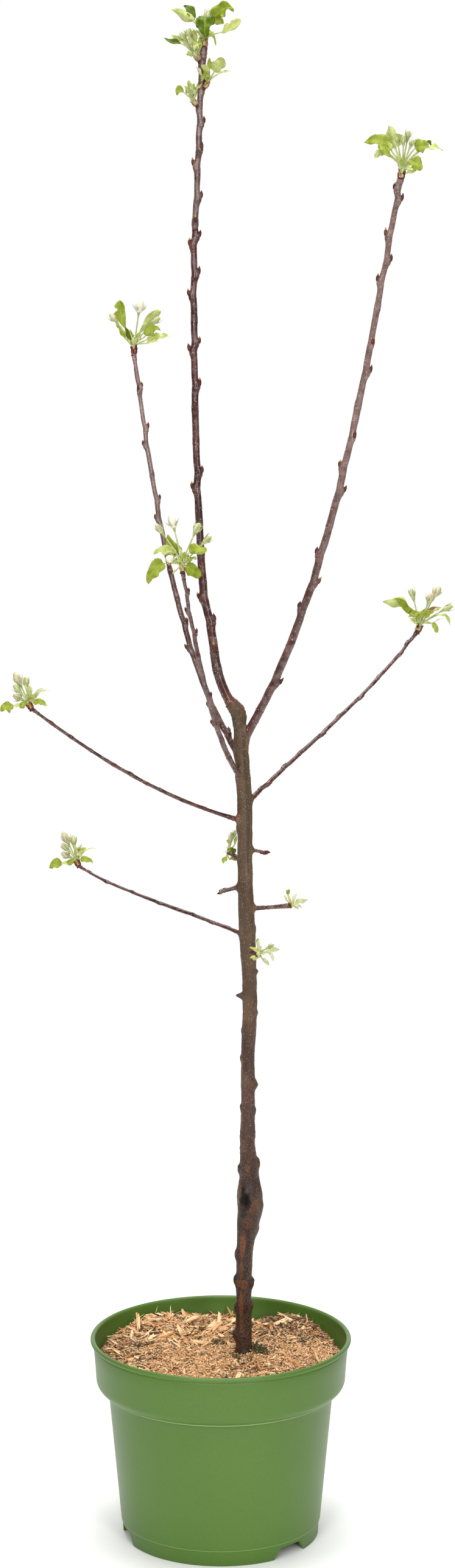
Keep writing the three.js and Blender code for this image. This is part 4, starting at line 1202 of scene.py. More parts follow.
def bud(right: float, up: float, back: float, *rest: float | Enum) -> Blossom:
    """Writes a blossom bud's row in the source's order; its sizes and petals' tone follow."""
    return Blossom((right, back, up), *rest)


@dataclass(frozen=True)
class Cluster:
    """A cluster of leaves and blossom buds on one short stem."""

    name: str
    on: str
    lean: tuple[float, float]
    stem: float
    radius: float
    space: float
    seed: int
    fill: int
    leaves: tuple[Leaf, ...]
    buds: tuple[Blossom, ...] = ()
    at: float = 0.0
    scales: tuple[Tissue, ...] = (SCALE_RED, SCALE_DARK, SCALE_RED, SCALE_TAN)

    def foot(self, limb: Limb) -> Array:
        """Finds the cluster's foot.

        Args:
            limb: The limb that it grows on.

        Returns:
            Its place.
        """
        if not self.at:
            return limb.path[-1].copy()
        at = limb.at_height(self.at)
        return limb.path[at] + direction(self.lean[0]) * limb.radii[at]

    def filled(self) -> list[Leaf]:
        """Grows the leaves that the source's seeded rule adds at the back.

        Returns:
            The leaves.
        """
        numbers = SeededNumbers(self.seed)
        rows = []
        for i in range(self.fill):
            turn = (144 * (i + numbers.next())) % 60
            rise = numbers.between(5, 40)
            reach = numbers.between(15, 23) * self.space / 46
            tip = direction(60 + turn, rise) * reach
            width = reach * numbers.between(0.22, 0.3)
            show = 30 + 50 * numbers.next()
            start = tip * STALK_SHARE_BACK
            look = (width, show, 1 + 2 * numbers.next(), (FRESH, DEEP, PALE)[i % 3])
            rows.append(leaf(tip[0], tip[2] + 4, tip[1], start[0], start[2] + 5, *look))
        for i in range(5 if self.space >= 30 else 0):
            heading = -150 + 30 * i + 14 * numbers.next()
            tip = direction(heading, numbers.between(38, 78)) * numbers.between(9, 17)
            width, show = numbers.between(2.2, 3.6), numbers.between(45, 80)
            look = (width, show, 1, (PALE, SILVER, FRESH)[i % 3], LANCE, 0.3)
            rows.append(leaf(tip[0], tip[2] + 5, tip[1], tip[0] * 0.35, tip[2] * 0.35 + 5, *look))
        return rows


TAN_SCALES = (SCALE_TAN, SCALE_DARK, SCALE_TAN, SCALE_CREAM)
PALE_SCALES = (SCALE_CREAM, SCALE_TAN, SCALE_CREAM, SCALE_CREAM)
SPREAD_LEAVES = (
    leaf(-25, -1, -5, -14, 2, 8, 55, 1.5, FRESH, OVATE, 0.4, 0.35),
    leaf(-15, 2, -5, -6, 3.5, 3, 40, 0.5, PALE, LANCE),
    leaf(-8.5, 1, -4, -3, 5.5, 5, 60, 1, FRESH, SPOON, 0.3),
    leaf(12.5, 3, -6, 1.5, 6, 5.5, 60, 1.5, FRESH, HEART),
    leaf(14, 15, 4, 3, 10.5, 2.6, 20, 1, PALE, LANCE, 0.5),
    leaf(-4.5, 8.5, 4, 1.5, 10.5, 3, -70, 1.5, FRESH, LANCE),
)
SPREAD_BUDS = (
    bud(-13.5, 29.5, 0, 11.5, 6, BLUSH), bud(-5, 25.5, 4, 9, 4.8), bud(-14, 20, -4, 9, 4.8),
    bud(-15, 10.5, 3, 8, 5.4, BLUSH),
)
CLUSTERS = (
    Cluster(
        "cluster_leader_top", "leader", (60, 86), 9.5, 2.4, 48, 21, 3,
        (
            leaf(24, 30.5, -4, 8.5, 23, 12, 75, 3, DEEP, OVATE, 0.3),
            leaf(1, 7, -17, 1, 23.5, 14.5, 70, 1, DARK, HEART, 0.2),
            leaf(29, 21.5, -6, 12, 11, 7, 65, -1, PALE, SPOON, 0.2, 0.5),
            leaf(11, 2, -9, -1.5, 5, 5, 30, 5, FRESH, OVATE, 0.5),
            leaf(-25.5, 29.5, 3, -8, 20.5, 7.5, -80, 0.5, FRESH, OVATE, 0.5),
            leaf(-16.5, 33.5, 7, -7.5, 22, 7, 60, 1.5, DARK, OVATE, 0.8),
            leaf(16, 18, 5, 4, 21, 8, 70, 1.5),
            leaf(-8, -2.5, -10, -4, 3, 4.5, 60, 1, PALE, OVATE, 0.3),
        ),
        (
            bud(3.5, 29, 2, 9, 4.4), bud(6.5, 30, 4, 8.5, 4), bud(8.5, 26.5, 7, 7, 3.6),
            bud(0.5, 26, 5, 7, 3.6),
        ),
        scales=TAN_SCALES,
    ),
    Cluster(
        "cluster_leader_left", "leader", (-170, 58), 9, 1.7, 40, 22, 1,
        (
            leaf(-27.5, 18.5, -4, -13.5, 13.5, 4.5, 60, -1, DARK, LANCE, 0.6),
            leaf(-23, 20.5, 5, -12.5, 15.5, 3.5, -70, 0, FRESH, LANCE),
            leaf(-4, 25, -5, -3.5, 14.5, 4, -75, 0.5, FRESH, LANCE),
            leaf(-9, 19, -7, -5.5, 11.5, 4.5, -75, 1, PALE),
            leaf(-10.5, 5, -6, -6, 3.5, 4.5, -60, 1, PALE),
            leaf(-15, 19.5, 3, -12, 13, 2.6, 60, 0, PALE, LANCE),
        ),
        (bud(-10, 25, -2, 8, 4), bud(-8, 25.5, 3, 8, 3.6), bud(-15.5, 22.5, 1, 8, 4.2)),
        at=1230,
        scales=PALE_SCALES,
    ),
    Cluster(
        "cluster_leader_right", "leader", (-5, 58), 8, 1.7, 36, 23, 1,
        (
            leaf(15.5, 23, 3, 8.5, 12.5, 10, -75, 0.5, PALE, ROUND),
            leaf(21.5, 13, -4, 11, 10.5, 3, 30, 0.5, PALE, LANCE),
            leaf(4.5, 23.5, 5, 4.5, 14, 4, 70, 0, FRESH, LANCE),
            leaf(-2, 17.5, -7, 3.5, 12, 5.5, 70, 0.5, PALE),
            leaf(-2, 5, -8, 5, 8, 4.5, 50, 3, FRESH, OVATE, 0.4),
        ),
        at=1209,
        scales=TAN_SCALES,
    ),
    Cluster(
        "cluster_leader_left_lower", "leader", (175, 52), 8, 1.6, 32, 24, 1,
        (
            leaf(-16, 8, -4, -10.5, 10.5, 6, 55, 2.5, FRESH, OVATE, 0.3),
            leaf(-10, 15, 5, -6.5, 9.5, 4.5, -70, 0.5),
            leaf(-6.5, 20, -2, -6, 14, 3.2, 70, 0.5, PALE, LANCE),
            leaf(-2.5, 17.5, -3, -3, 10, 4, -70, 0.5),
            leaf(4, 17.5, -7, -0.5, 12, 2.2, 60, 0, PALE, LANCE),
        ),
        (bud(-4, 17, 3, 6.5, 3.6),),
        at=1195,
        scales=PALE_SCALES,
    ),
    Cluster(
        "cluster_right_upright", "bough_right_upright", (-20, 80), 11, 2.1, 50, 25, 3,
        (
            leaf(-29, 28.5, 4, -6.5, 26, 9.5, 70, 2.5, FRESH, OVATE, 0.5),
            leaf(-9, 40.5, 7, -4, 24, 12, -85, 0.5, PALE, HEART, 0.2, 0.3),
            leaf(-8, 17, -7, -17.5, 26.5, 7, 70, 0.5, FRESH, OVATE, 0.2),
            leaf(-11.5, 29, -3, -7.5, 21.5, 4, 70, 0.5, PALE),
            leaf(-20, 16, -2, -12.5, 21.5, 6, -70, 1, DARK),
            leaf(21, 25, -4, 10.5, 23.5, 10.5, 75, 1, FRESH, ROUND),
            leaf(33, 23, 4, 18, 24, 4.2, 45, 0.5, PALE, LANCE, 0.5, 0.4),
            leaf(24, 25.5, 8, 19.5, 27, 4, 60, 1.5, DARK),
            leaf(14.5, 6.5, -9, 6.5, 14.5, 9.5, 70, 1.5, FRESH, ROUND, 0.2),
            leaf(12, 6.5, -2, 4.5, 4, 3.3, 60, 0.5, PALE, LANCE),
        ),
        (
            bud(6, 37, 0, 7.5, 4.2), bud(2, 34, -4, 7, 4.2), bud(9.5, 30.5, -5, 7, 3.6),
            bud(-3, 32, 5, 5, 3),
        ),
        scales=(SCALE_DARK, SCALE_RED, SCALE_TAN, SCALE_CREAM),
    ),
    Cluster(
        "cluster_left_upright", "bough_left_upright", (80, 86), 9.4, 1.9, 54, 26, 3,
        (
            leaf(-12, 44.5, 5, -6.5, 20, 9, 80, -1.5, FRESH, SPOON, 0.2, 0.7),
            leaf(-15.5, 26, 7, -6, 12, 4, 60, 0, FRESH, LANCE),
            leaf(-7, 23.5, -6, -3, 8.5, 3.8, 70, 0.5, DARK, LANCE),
            leaf(22, 36, 6, 4, 16, 8.5, -80, 1, PALE, SPOON, 0.3, 0.3),
            leaf(22, 21, -6, 10, 15, 8, 70, 3, FRESH, OVATE, 0.5, 0.4),
            leaf(29.5, 14.5, 4, 11, 12, 6, 60, 1, PALE, OVATE, 0.0, 0.4),
            leaf(21, 11, -7, 10, 9, 4, 50, 1, PALE),
        ),
        (
            bud(6, 45.5, -2, 12, 8, PETAL), bud(-20, 34, -4, 9.5, 5, BLUSH), bud(21.5, 31, -1, 9, 5.2),
        ),
        scales=(SCALE_RED, SCALE_RED, SCALE_DARK),
    ),
    Cluster(
        "cluster_front_left", "bough_front_left", (-90, 84), 9, 1.8, 54, 27, 2,
        (
            leaf(-27, -9, -9, -15, 7, 10.5, 70, 3, FRESH, HEART, 0.3, 0.3),
            leaf(-23.5, 15, -3, -5, 15, 7, 60, 3, PALE, OVATE, 0.6, 0.4),
            leaf(-12, 29, 4, -4, 12, 9, 75, 0, FRESH, HEART),
            leaf(-13.5, 12.5, 8, -6, 14, 4, 60, 1, PALE),
            leaf(19, 17.5, -8, 5, 15.5, 8.5, 70, 2, FRESH, ROUND, 0.2),
            leaf(12.5, -4.5, -8, 2, 4.5, 10, 70, 2, DEEP, ROUND, 0.3),
            leaf(-8, -1, -7, -4, 2, 2, 40, 0.5, PALE, LANCE),
        ),
        (
            bud(-9.5, 45.5, 0, 12.5, 6.6, PETAL), bud(-21, 38, -4, 9.5, 4.8, BLUSH),
            bud(13.5, 38, 3, 9.5, 5.8), bud(22.5, 28, 1, 8.5, 5), bud(-13, 11.5, -9, 7, 6, PETAL),
        ),
        scales=PALE_SCALES,
    ),
    Cluster(
        "cluster_right_spread", "bough_right_spread", (20, 66), 11, 2, 52, 28, 2,
        (
            leaf(-28.5, 25, 6, -8, 22, 8.5, -80, 1, PALE, OVATE, 0.4),
            leaf(-20, 29, -4, -4, 15.5, 6.5, 70, 1, DEEP, OVATE, 0.3),
            leaf(17, 22, -6, 7, 16, 3, 60, 1, RUST, LANCE), leaf(-8, 13.5, -8, 2, 16.5, 5, 60, 1),
            leaf(13.5, 18.5, -8, 6, 13, 6, 70, 1),
            leaf(21, 20.5, 4, 13.5, 17.5, 2.4, 50, 0, PALE, LANCE),
            leaf(27.5, 5, 3, 17.5, 14.5, 3.2, 40, 4, PALE, LANCE, 0.6),
            leaf(22, 12.5, -5, 12, 7.5, 2.2, 20, 0.5, PALE, LANCE),
            leaf(16.5, 0.5, -8, 12.5, 7.5, 4.5, 70, 1, FRESH, ROUND),
        ),
        (
            bud(-5.5, 36.5, 2, 9.5, 4.6), bud(12, 33.5, -4, 9.5, 6, BLUSH),
            bud(19, 38, 4, 10, 6.6, BLUSH), bud(29.5, 22.5, -1, 9, 5),
        ),
        scales=(SCALE_RED, SCALE_CREAM, SCALE_DARK, SCALE_CREAM),
    ),
    Cluster(
        "cluster_left_spread", "bough_left_spread", (-170, 62), 8, 1.9, 40, 29, 2,
        SPREAD_LEAVES, SPREAD_BUDS,
    ),
    Cluster(
        "cluster_lower_left", "bough_lower_left", (170, 62), 8, 1.9, 40, 30, 2,
        SPREAD_LEAVES, SPREAD_BUDS,
    ),
    Cluster(
        "cluster_spur_right", "spur_right", (-15, 10), 4, 1.6, 24, 31, 2,
        (
            leaf(16, 6, -3, 5, 2, 4, 60, 0.5, SILVER),
            leaf(7, 9.5, 2, 3, 3, 2.6, 70, 0.5, SILVER, LANCE),
            leaf(-4, 8, 4, -0.5, 3, 1.8, 70, 0, SILVER, LANCE),
            leaf(11, -1, -4, 5, 0.5, 3, 50, 0.5, SILVER),
            leaf(8, -3.5, 3, 4, -0.5, 2.6, 50, 0.5, SILVER),
        ),
    ),
    Cluster(
        "cluster_spur_back_left", "spur_back_left", (150, 35), 4, 1.5, 24, 32, 1,
        (
            leaf(-3, 3.5, -6, 4, 2, 4.6, 60, 1, DARK), leaf(-6.5, -8, -3, -3.5, -2.5, 4, 60, 0.5),
            leaf(4.5, -5.5, -5, -1.5, -4.5, 3, 50, 1),
            leaf(5.5, 14.5, 5, 3, 6, 2.6, 70, 0.5, PALE, LANCE),
        ),
        (bud(1, 18, 0, 9, 3.4), bud(4, 19, 4, 8, 3.2)),
    ),
    Cluster(
        "cluster_spur_front_right", "spur_front_right", (-60, 22), 4.5, 1.7, 26, 33, 1,
        (
            leaf(-5.5, 7.5, -5, 0, 3, 3, 60, 0.5, PALE), leaf(-5.5, -1.5, -6, 0, -4, 4, 60, 1, PALE),
            leaf(1.5, 12.5, 1, 1, 5, 2.8, 70, 0, SILVER, LANCE),
            leaf(4, 8, -2, 2.5, 3.5, 2.6, 60, 0.3, SILVER, LANCE),
            leaf(19, 4.5, -3, 9, 3, 4, 60, 0.5, SILVER),
            leaf(13.5, -5, -4, 10.5, 2, 2.6, 60, 1, SILVER),
            leaf(10.5, -10, 3, 4.5, -4, 3.6, 60, 0.5, SILVER),
        ),
        (bud(14.5, 7.5, 2, 6, 3.4),),
    ),
)


@dataclass
class Foliage:
    """All the clusters' leaves, stalks, blossom and stems, each kind joined."""

    wood: Woodwork
    blade_rows: int = 40
    small_blade_rows: int = 28
    # The width from which a leaf is large: finer in its rows, with painted shade in its sunken vein
    # grooves.
    large: float = 4.0
    # Rings and sides of a bud's petals, and sides of its cup, its stalk, a leaf's stalk, a stem.
    petal_grid: tuple[int, int] = (15, 40)
    cup_sides: int = 10
    bud_stalk_sides: int = 7
    leaf_stalk_sides: int = 6
    stem_sides: int = 16
    blades: Pile = field(default_factory=Pile)
    stalks: Pile = field(default_factory=Pile)
    blossom: Pile = field(default_factory=Pile)
    stems: Pile = field(default_factory=Pile)
    # Where the small differences come from; each cluster starts its own.
    numbers: SeededNumbers = field(default_factory=lambda: SeededNumbers(0))

    TONES = (FRESH, DEEP, DARK, PALE, RUST, SILVER, DOWNY, RIB, VEIN_SHADE)
    # The tones of the painted shade in the sunken vein grooves and of the rib, where they differ from
    # the leaf's.
    VEIN_SHADES = {FRESH: VEIN_SHADE}
    RIBS = {FRESH: RIB, DEEP: FRESH, DARK: DEEP}
    BLOOMS = (PETAL, BLUSH, UNRIPE, CALYX, STALK, RUST)
    # How much of each kind of bud its sepals cover, and the least that their tips splay.
    HOLDS = {PETAL: (0.44, 0.5), BLUSH: (0.6, 0.15), UNRIPE: (0.85, 0.0)}
    HUSKS = (SCALE_RED, SCALE_TAN, SCALE_DARK, SCALE_CREAM, STALK)
    # A blade's points across it, from edge to edge, and how thick it is between the edges.
    ACROSS = (-1.0, -0.8, -0.52, -0.24, -0.04, 0.04, 0.24, 0.52, 0.8, 1.0)
    THICK = (0.3, 0.4, 0.5, 0.6, 0.6, 0.5, 0.4, 0.3)

    def blade(self, foot: Array, row: Leaf) -> tuple[Array, Array]:
        """Adds a leaf's blade: two skins with a rib, bulges between veins and toothed edges.

        Args:
            foot: The cluster's foot.
            row: The leaf.

        Returns:
            Where the blade starts and the way it starts.
        """
        tip, start = foot + np.array(row.tip), foot + np.array(row.start)
        chord = unit(tip - start)
        over = UP - chord * (chord @ UP)
        over = unit(over) if np.linalg.norm(over) > 0.2 else unit(FRONT)
        rows = self.blade_rows if row.width > self.large else self.small_blade_rows
        share = np.linspace(0.0, 1.0, rows)
        level = share[:, None]
        line = bezier([start, (start + tip) / 2 + over * 2 * row.arch, tip], share)
        length = np.linalg.norm(tip - start)
        along = unit(np.gradient(line, axis=0))
        show = math.radians(row.show)
        face = square_to(along, np.array([0.05, -math.sin(show), math.cos(show)]))
        side = np.cross(along, face)
        twist = math.radians(self.numbers.between(-22, 22)) * level
        side, face = (
            side * np.cos(twist) + face * np.sin(twist),
            face * np.cos(twist) - side * np.sin(twist),
        )
        rise, fall, tooth = row.form.value
        outline = share**rise * (1 - share) ** fall
        outline = outline / outline.max()
        saw = (share * max(int(length / 1.4), 4)) % 1.0
        half = np.maximum(row.width / 2 * outline * (1 - tooth + 2 * tooth * saw), 0.1)
        fold = self.numbers.between(0.15, 0.6)
        wave = self.numbers.between(0.1, 0.2) * row.width
        phase, swing = self.numbers.between(0, 6.28), self.numbers.between(9, 16)
        bend = self.numbers.between(-0.05, 0.05) * length
        lobe_at = self.numbers.between(0.35, 0.6)
        lobe = 1 + row.lobe * bell(level - lobe_at, 0.12)
        lobe -= row.lobe * 0.9 * bell(level - lobe_at - 0.22, 0.06)
        u = np.array(self.ACROSS)[None, :] * np.ones((rows, 1))
        out, hand = np.abs(u), np.sign(u)
        wobble = 1 + 0.13 * np.sin(phase + 2.1 * hand + 8.5 * level)
        wide = half[:, None] * np.where(u < 0, lobe, 1.0) * wobble
        line = line + side * (bend * np.sin(2 * np.pi * level))
        lift = out * wide * fold
        lift += wave * np.sin(phase + swing * level + 2.4 * hand) * out**2
        veins = (level * 7 - out * 2.1) % 1.0
        lift -= np.minimum(0.13 * wide, 0.3) * (bell(veins - 0.5, 0.18) * (out > 0.2) * (out < 0.95))
        lift -= row.curl * 0.6 * row.width * np.clip((level - 0.5) / 0.5, 0, 1) ** 2
        lift -= 0.12 * row.width * out**4 * self.numbers.between(-0.4, 1.0)
        top = line[:, None] + side[:, None] * (u * wide)[..., None] + face[:, None] * lift[..., None]
        thick = np.array(self.THICK) * min(1.0, row.width / 6)
        under = top[:, 8:0:-1] - face[:, None] * (thick[None, :] * (1 - 0.5 * level))[..., None]
        downy = SILVER if row.tone is SILVER else DOWNY
        rib, vein_shade = (kinds.get(row.tone, row.tone) for kinds in (self.RIBS, self.VEIN_SHADES))
        tone, rib, vein_shade, downy = (self.TONES.index(kind) for kind in (row.tone, rib, vein_shade, downy))
        slots = np.array([tone] * 4 + [rib] + [tone] * 4 + [downy] * 9)
        at_face = np.repeat(slots[None], rows - 1, axis=0)
        # Faces in the sunken vein grooves take a darker tone, as painted shade.
        if row.width > self.large:
            is_sunk = np.abs((veins[:-1, :-1] + veins[1:, 1:]) / 2 - 0.5) < 0.17
            is_upper = (slots[:9] == tone) & (rib != tone)
            at_face[:, :9] = np.where(is_sunk & is_upper, vein_shade, at_face[:, :9])
        self.blades.tube(np.concatenate([top, under], axis=1), at_face, (slots, slots))
        return start, along[0]

    def stalk(self, root: Array, out: Array, start: Array, arrive: Array) -> None:
        """Adds a leaf's stalk, with a pair of small leafy flaps at its foot.

        Args:
            root: Where it leaves the stem.
            out: The way the stem looks.
            start: Where its blade starts.
            arrive: The way the blade starts.
        """
        chord, length = unit(start - root), np.linalg.norm(start - root)
        first = root + unit(out + 1.4 * chord) * 0.3 * length
        last = start - unit(arrive + 1.2 * chord) * 0.3 * length
        path = bezier([root, first, last, start + arrive * 1.2], 12)
        radii = np.interp(np.linspace(0, 1, 12), [0, 0.15, 0.8, 1], [1.0, 0.72, 0.58, 0.35])
        self.stalks.tube(ring_points(path, radii, self.leaf_stalk_sides))
        if length < 5:
            return
        foot = path[1]
        for turn in (-1, 1):
            aside = unit(np.cross(chord, UP) * turn + 0.3 * out + 0.6 * chord)
            long_ = self.numbers.between(2.5, 6.5)
            middle = foot + aside * long_ * 0.5 + UP * 1.2
            points = [foot, middle, foot + aside * long_ + UP * self.numbers.between(-1, 2)]
            self.ribbon(self.stalks, points, (0.3, 0.5, 0.5, 0.36, 0.2, 0.06), UP, 0)

    def ribbon(
        self, pile: Pile, points: list, half: Array | tuple, upper: Array, slot: int, cup: float = 0.25
    ) -> None:
        """Adds a thin leafy strip with a shallow trough.

        Args:
            pile: Where it goes.
            points: The control points of its middle line.
            half: Its half-width along the line.
            upper: The way its upper face looks.
            slot: The material slot.
            cup: How deep the trough is for its width.
        """
        path = bezier(points, len(half))
        along = unit(np.gradient(path, axis=0))
        face = square_to(along, upper)
        side = np.cross(along, face)
        h = np.array(half)[:, None]
        top = [path - side * h + face * h * cup, path, path + side * h + face * h * cup]
        low = [path + side * h * 0.5 - face * 0.18, path - side * h * 0.5 - face * 0.18]
        pile.tube(np.stack(top + low, axis=1), slot)

    def bloom(self, root: Array, foot: Array, row: Blossom) -> None:
        """Adds a closed bud: stalk, green cup, five overlapping petals and five sepals.

        Args:
            root: Where its stalk leaves the stem.
            foot: The cluster's foot.
            row: The bud.
        """
        calyx, petal = self.BLOOMS.index(CALYX), self.BLOOMS.index(row.petal)
        tip = foot + np.array(row.tip)
        length = np.linalg.norm(tip - root)
        line = [root, (root + tip) / 2 + UP * length * 0.06, tip]
        share = 1 - min(row.length / length, 0.75)
        cup_share = share - min(3.6 / length, 0.45 * share)
        stalk = bezier(line, np.linspace(0, cup_share + 0.02, 12))
        rings = ring_points(stalk, np.linspace(0.72, 0.58, 12), self.bud_stalk_sides)
        self.blossom.tube(rings, self.BLOOMS.index(STALK))
        radius = row.width / 2
        cup = bezier(line, np.linspace(cup_share, share + 0.06, 7))
        flare = np.array([0.5, 0.72, 0.98, 1.22, 1.4, 1.4, 1.1]) * min(1, radius / 2.2)
        self.blossom.tube(ring_points(cup, flare, self.cup_sides), calyx)
        rows, sides = self.petal_grid
        level = np.linspace(0, 1, rows)
        body = bezier(line, share + (1 - share) * (0.02 + 0.98 * level))
        profile = np.sin(np.pi * (0.13 + 0.8 * level**0.9)) ** 0.62
        profile[-1] = 0.12
        rings = ring_points(body, np.ones(rows), sides) - body[:, None]
        turn = np.arange(sides) / sides
        overlap = (turn[None, :] * 5 + 0.55 * level[:, None] + self.numbers.next()) % 1.0
        swell = 0.90 + 0.17 * overlap * (0.35 + 0.65 * np.sin(np.pi * level))[:, None]
        rings = body[:, None] + rings * (radius * profile)[:, None, None] * swell[..., None]
        edge = calyx if row.petal is UNRIPE else petal
        self.blossom.tube(rings, np.where(overlap[:-1] > 0.78, edge, petal))
        self.sepals(body, cup[-2], row)

    def sepals(self, body: Array, foot: Array, row: Blossom) -> None:
        """Adds five pointed sepals that hold the petals and splay at their tips.

        Args:
            body: The bud's middle line.
            foot: The rim of the green cup.
            row: The bud.
        """
        axis, radius = unit(body[-1] - body[0]), row.width / 2
        hold, least = self.HOLDS[row.petal]
        offset = self.numbers.next() * 6.28
        for i in range(5):
            out = spoke(body, offset + i * 2 * np.pi / 5)
            long_ = row.length * hold * self.numbers.between(0.85, 1.1)
            splay = self.numbers.between(least, least + 0.5)
            points = [
                foot + out * 0.85 * min(1, radius / 2.2),
                foot + out * (radius * 1.38) + axis * long_ * 0.25,
                foot + out * (radius * 1.36) + axis * long_ * 0.72,
                foot + out * (radius * (1.1 + splay)) + axis * long_ * (1.05 - 0.15 * splay),
            ]
            half = np.array([0.75, 0.9, 0.85, 0.7, 0.5, 0.33, 0.18, 0.05]) * min(1.1, radius / 2.3)
            self.ribbon(self.blossom, points, half, -out, self.BLOOMS.index(CALYX), 0.35)

    def stem(self, cluster: Cluster, foot: Array, out: Array) -> None:
        """Adds a cluster's short stem with its ring scars and old bud scales.

        Args:
            cluster: The cluster.
            foot: Its foot.
            out: The way it looks.
        """
        share = np.linspace(0, 1, 26)
        path = foot + out * (-1.6 + (cluster.stem + 1.6) * share)[:, None]
        radii = cluster.radius * (1.15 - 0.4 * share) * (1 + 0.07 * np.sin(share * 34)) + 0.1
        radii[-3:] *= [0.9, 0.7, 0.35]
        rings = ring_points(path, radii, self.stem_sides)
        flat = rings.reshape(-1, 3)
        away = unit(flat - np.repeat(path, self.stem_sides, axis=0))
        uneven = 0.18 * lattice_noise(flat / 1.3, cluster.seed)
        rings = (flat + away * uneven[:, None]).reshape(rings.shape)
        tones = [self.HUSKS.index(tone) for tone in cluster.scales]
        dark, green = self.HUSKS.index(SCALE_DARK), self.HUSKS.index(STALK)
        level = np.where(share[:-1] < 0.22, dark, np.where(share[:-1] < 0.5, tones[-1], green))
        self.stems.tube(rings, level[:, None])
        for i in range(10):
            aside = spoke(path, i * 2.4 + 0.6 * self.numbers.next())
            base = path[int((0.08 + 0.04 * i) * 25)] + aside * cluster.radius * 0.8
            long_ = self.numbers.between(3.2, 5.6) * min(1, cluster.stem / 8)
            flare = self.numbers.between(0.2, 1.0)
            points = [
                base,
                base + out * long_ * 0.4 + aside * 1.3,
                base + out * long_ * 0.8 + aside * (0.9 + flare),
                base + out * long_ + aside * (0.4 + flare),
            ]
            half = np.array([0.7, 1.05, 1.2, 1.2, 1.0, 0.65, 0.15]) * cluster.radius * 0.55
            self.ribbon(self.stems, points, half, -aside, tones[i % len(tones)], 0.45)

    def is_clear(self, points: Array, foot: Array) -> bool:
        """Says whether points away from the cluster's foot keep off all the limbs."""
        away = points[np.linalg.norm(points - foot, axis=1) > 4]
        return not len(away) or all(limb.gap(away).min() > 0.3 for limb in self.wood.limbs)

    def grow(self, cluster: Cluster) -> int:
        """Grows one cluster.

        Args:
            cluster: The cluster.

        Returns:
            How many leaves and buds it has.
        """
        limb = self.wood.leader if cluster.on == "leader" else self.wood.boughs[cluster.on]
        foot, out = cluster.foot(limb), direction(*cluster.lean)
        self.numbers = SeededNumbers(cluster.seed * 101)
        self.stem(cluster, foot, out)
        count = 0
        for i, row in enumerate((*cluster.buds, *cluster.leaves, *cluster.filled())):
            root = foot + out * cluster.stem * (0.5 + 0.4 * ((i * 2) % 5) / 4)
            if isinstance(row, Blossom):
                self.bloom(root, foot, row)
                count += 1
                continue
            start, tip = foot + np.array(row.start), foot + np.array(row.tip)
            line = np.concatenate([bezier([root, start], 9), bezier([start, tip], 9)])
            if self.is_clear(line, foot):
                self.stalk(root, out, *self.blade(foot, row))
                count += 1
        return count

    def build(self) -> None:
        """Grows all the clusters and builds the joined pieces."""
        for cluster in CLUSTERS:
            LOG.info("%s: %d leaves and buds", cluster.name, self.grow(cluster))
        names = [cluster.name for cluster in CLUSTERS]
        self.blades.hand_in("leaf_blades", self.TONES, "leaves", *names)
        self.stalks.hand_in("leaf_stalks", (STALK,), "leaves", *names)
        self.blossom.hand_in("blossom_buds", self.BLOOMS, "leaves", *names)
        self.stems.hand_in("cluster_stems", self.HUSKS, "leaves", *names)


# ---------- pot and mulch


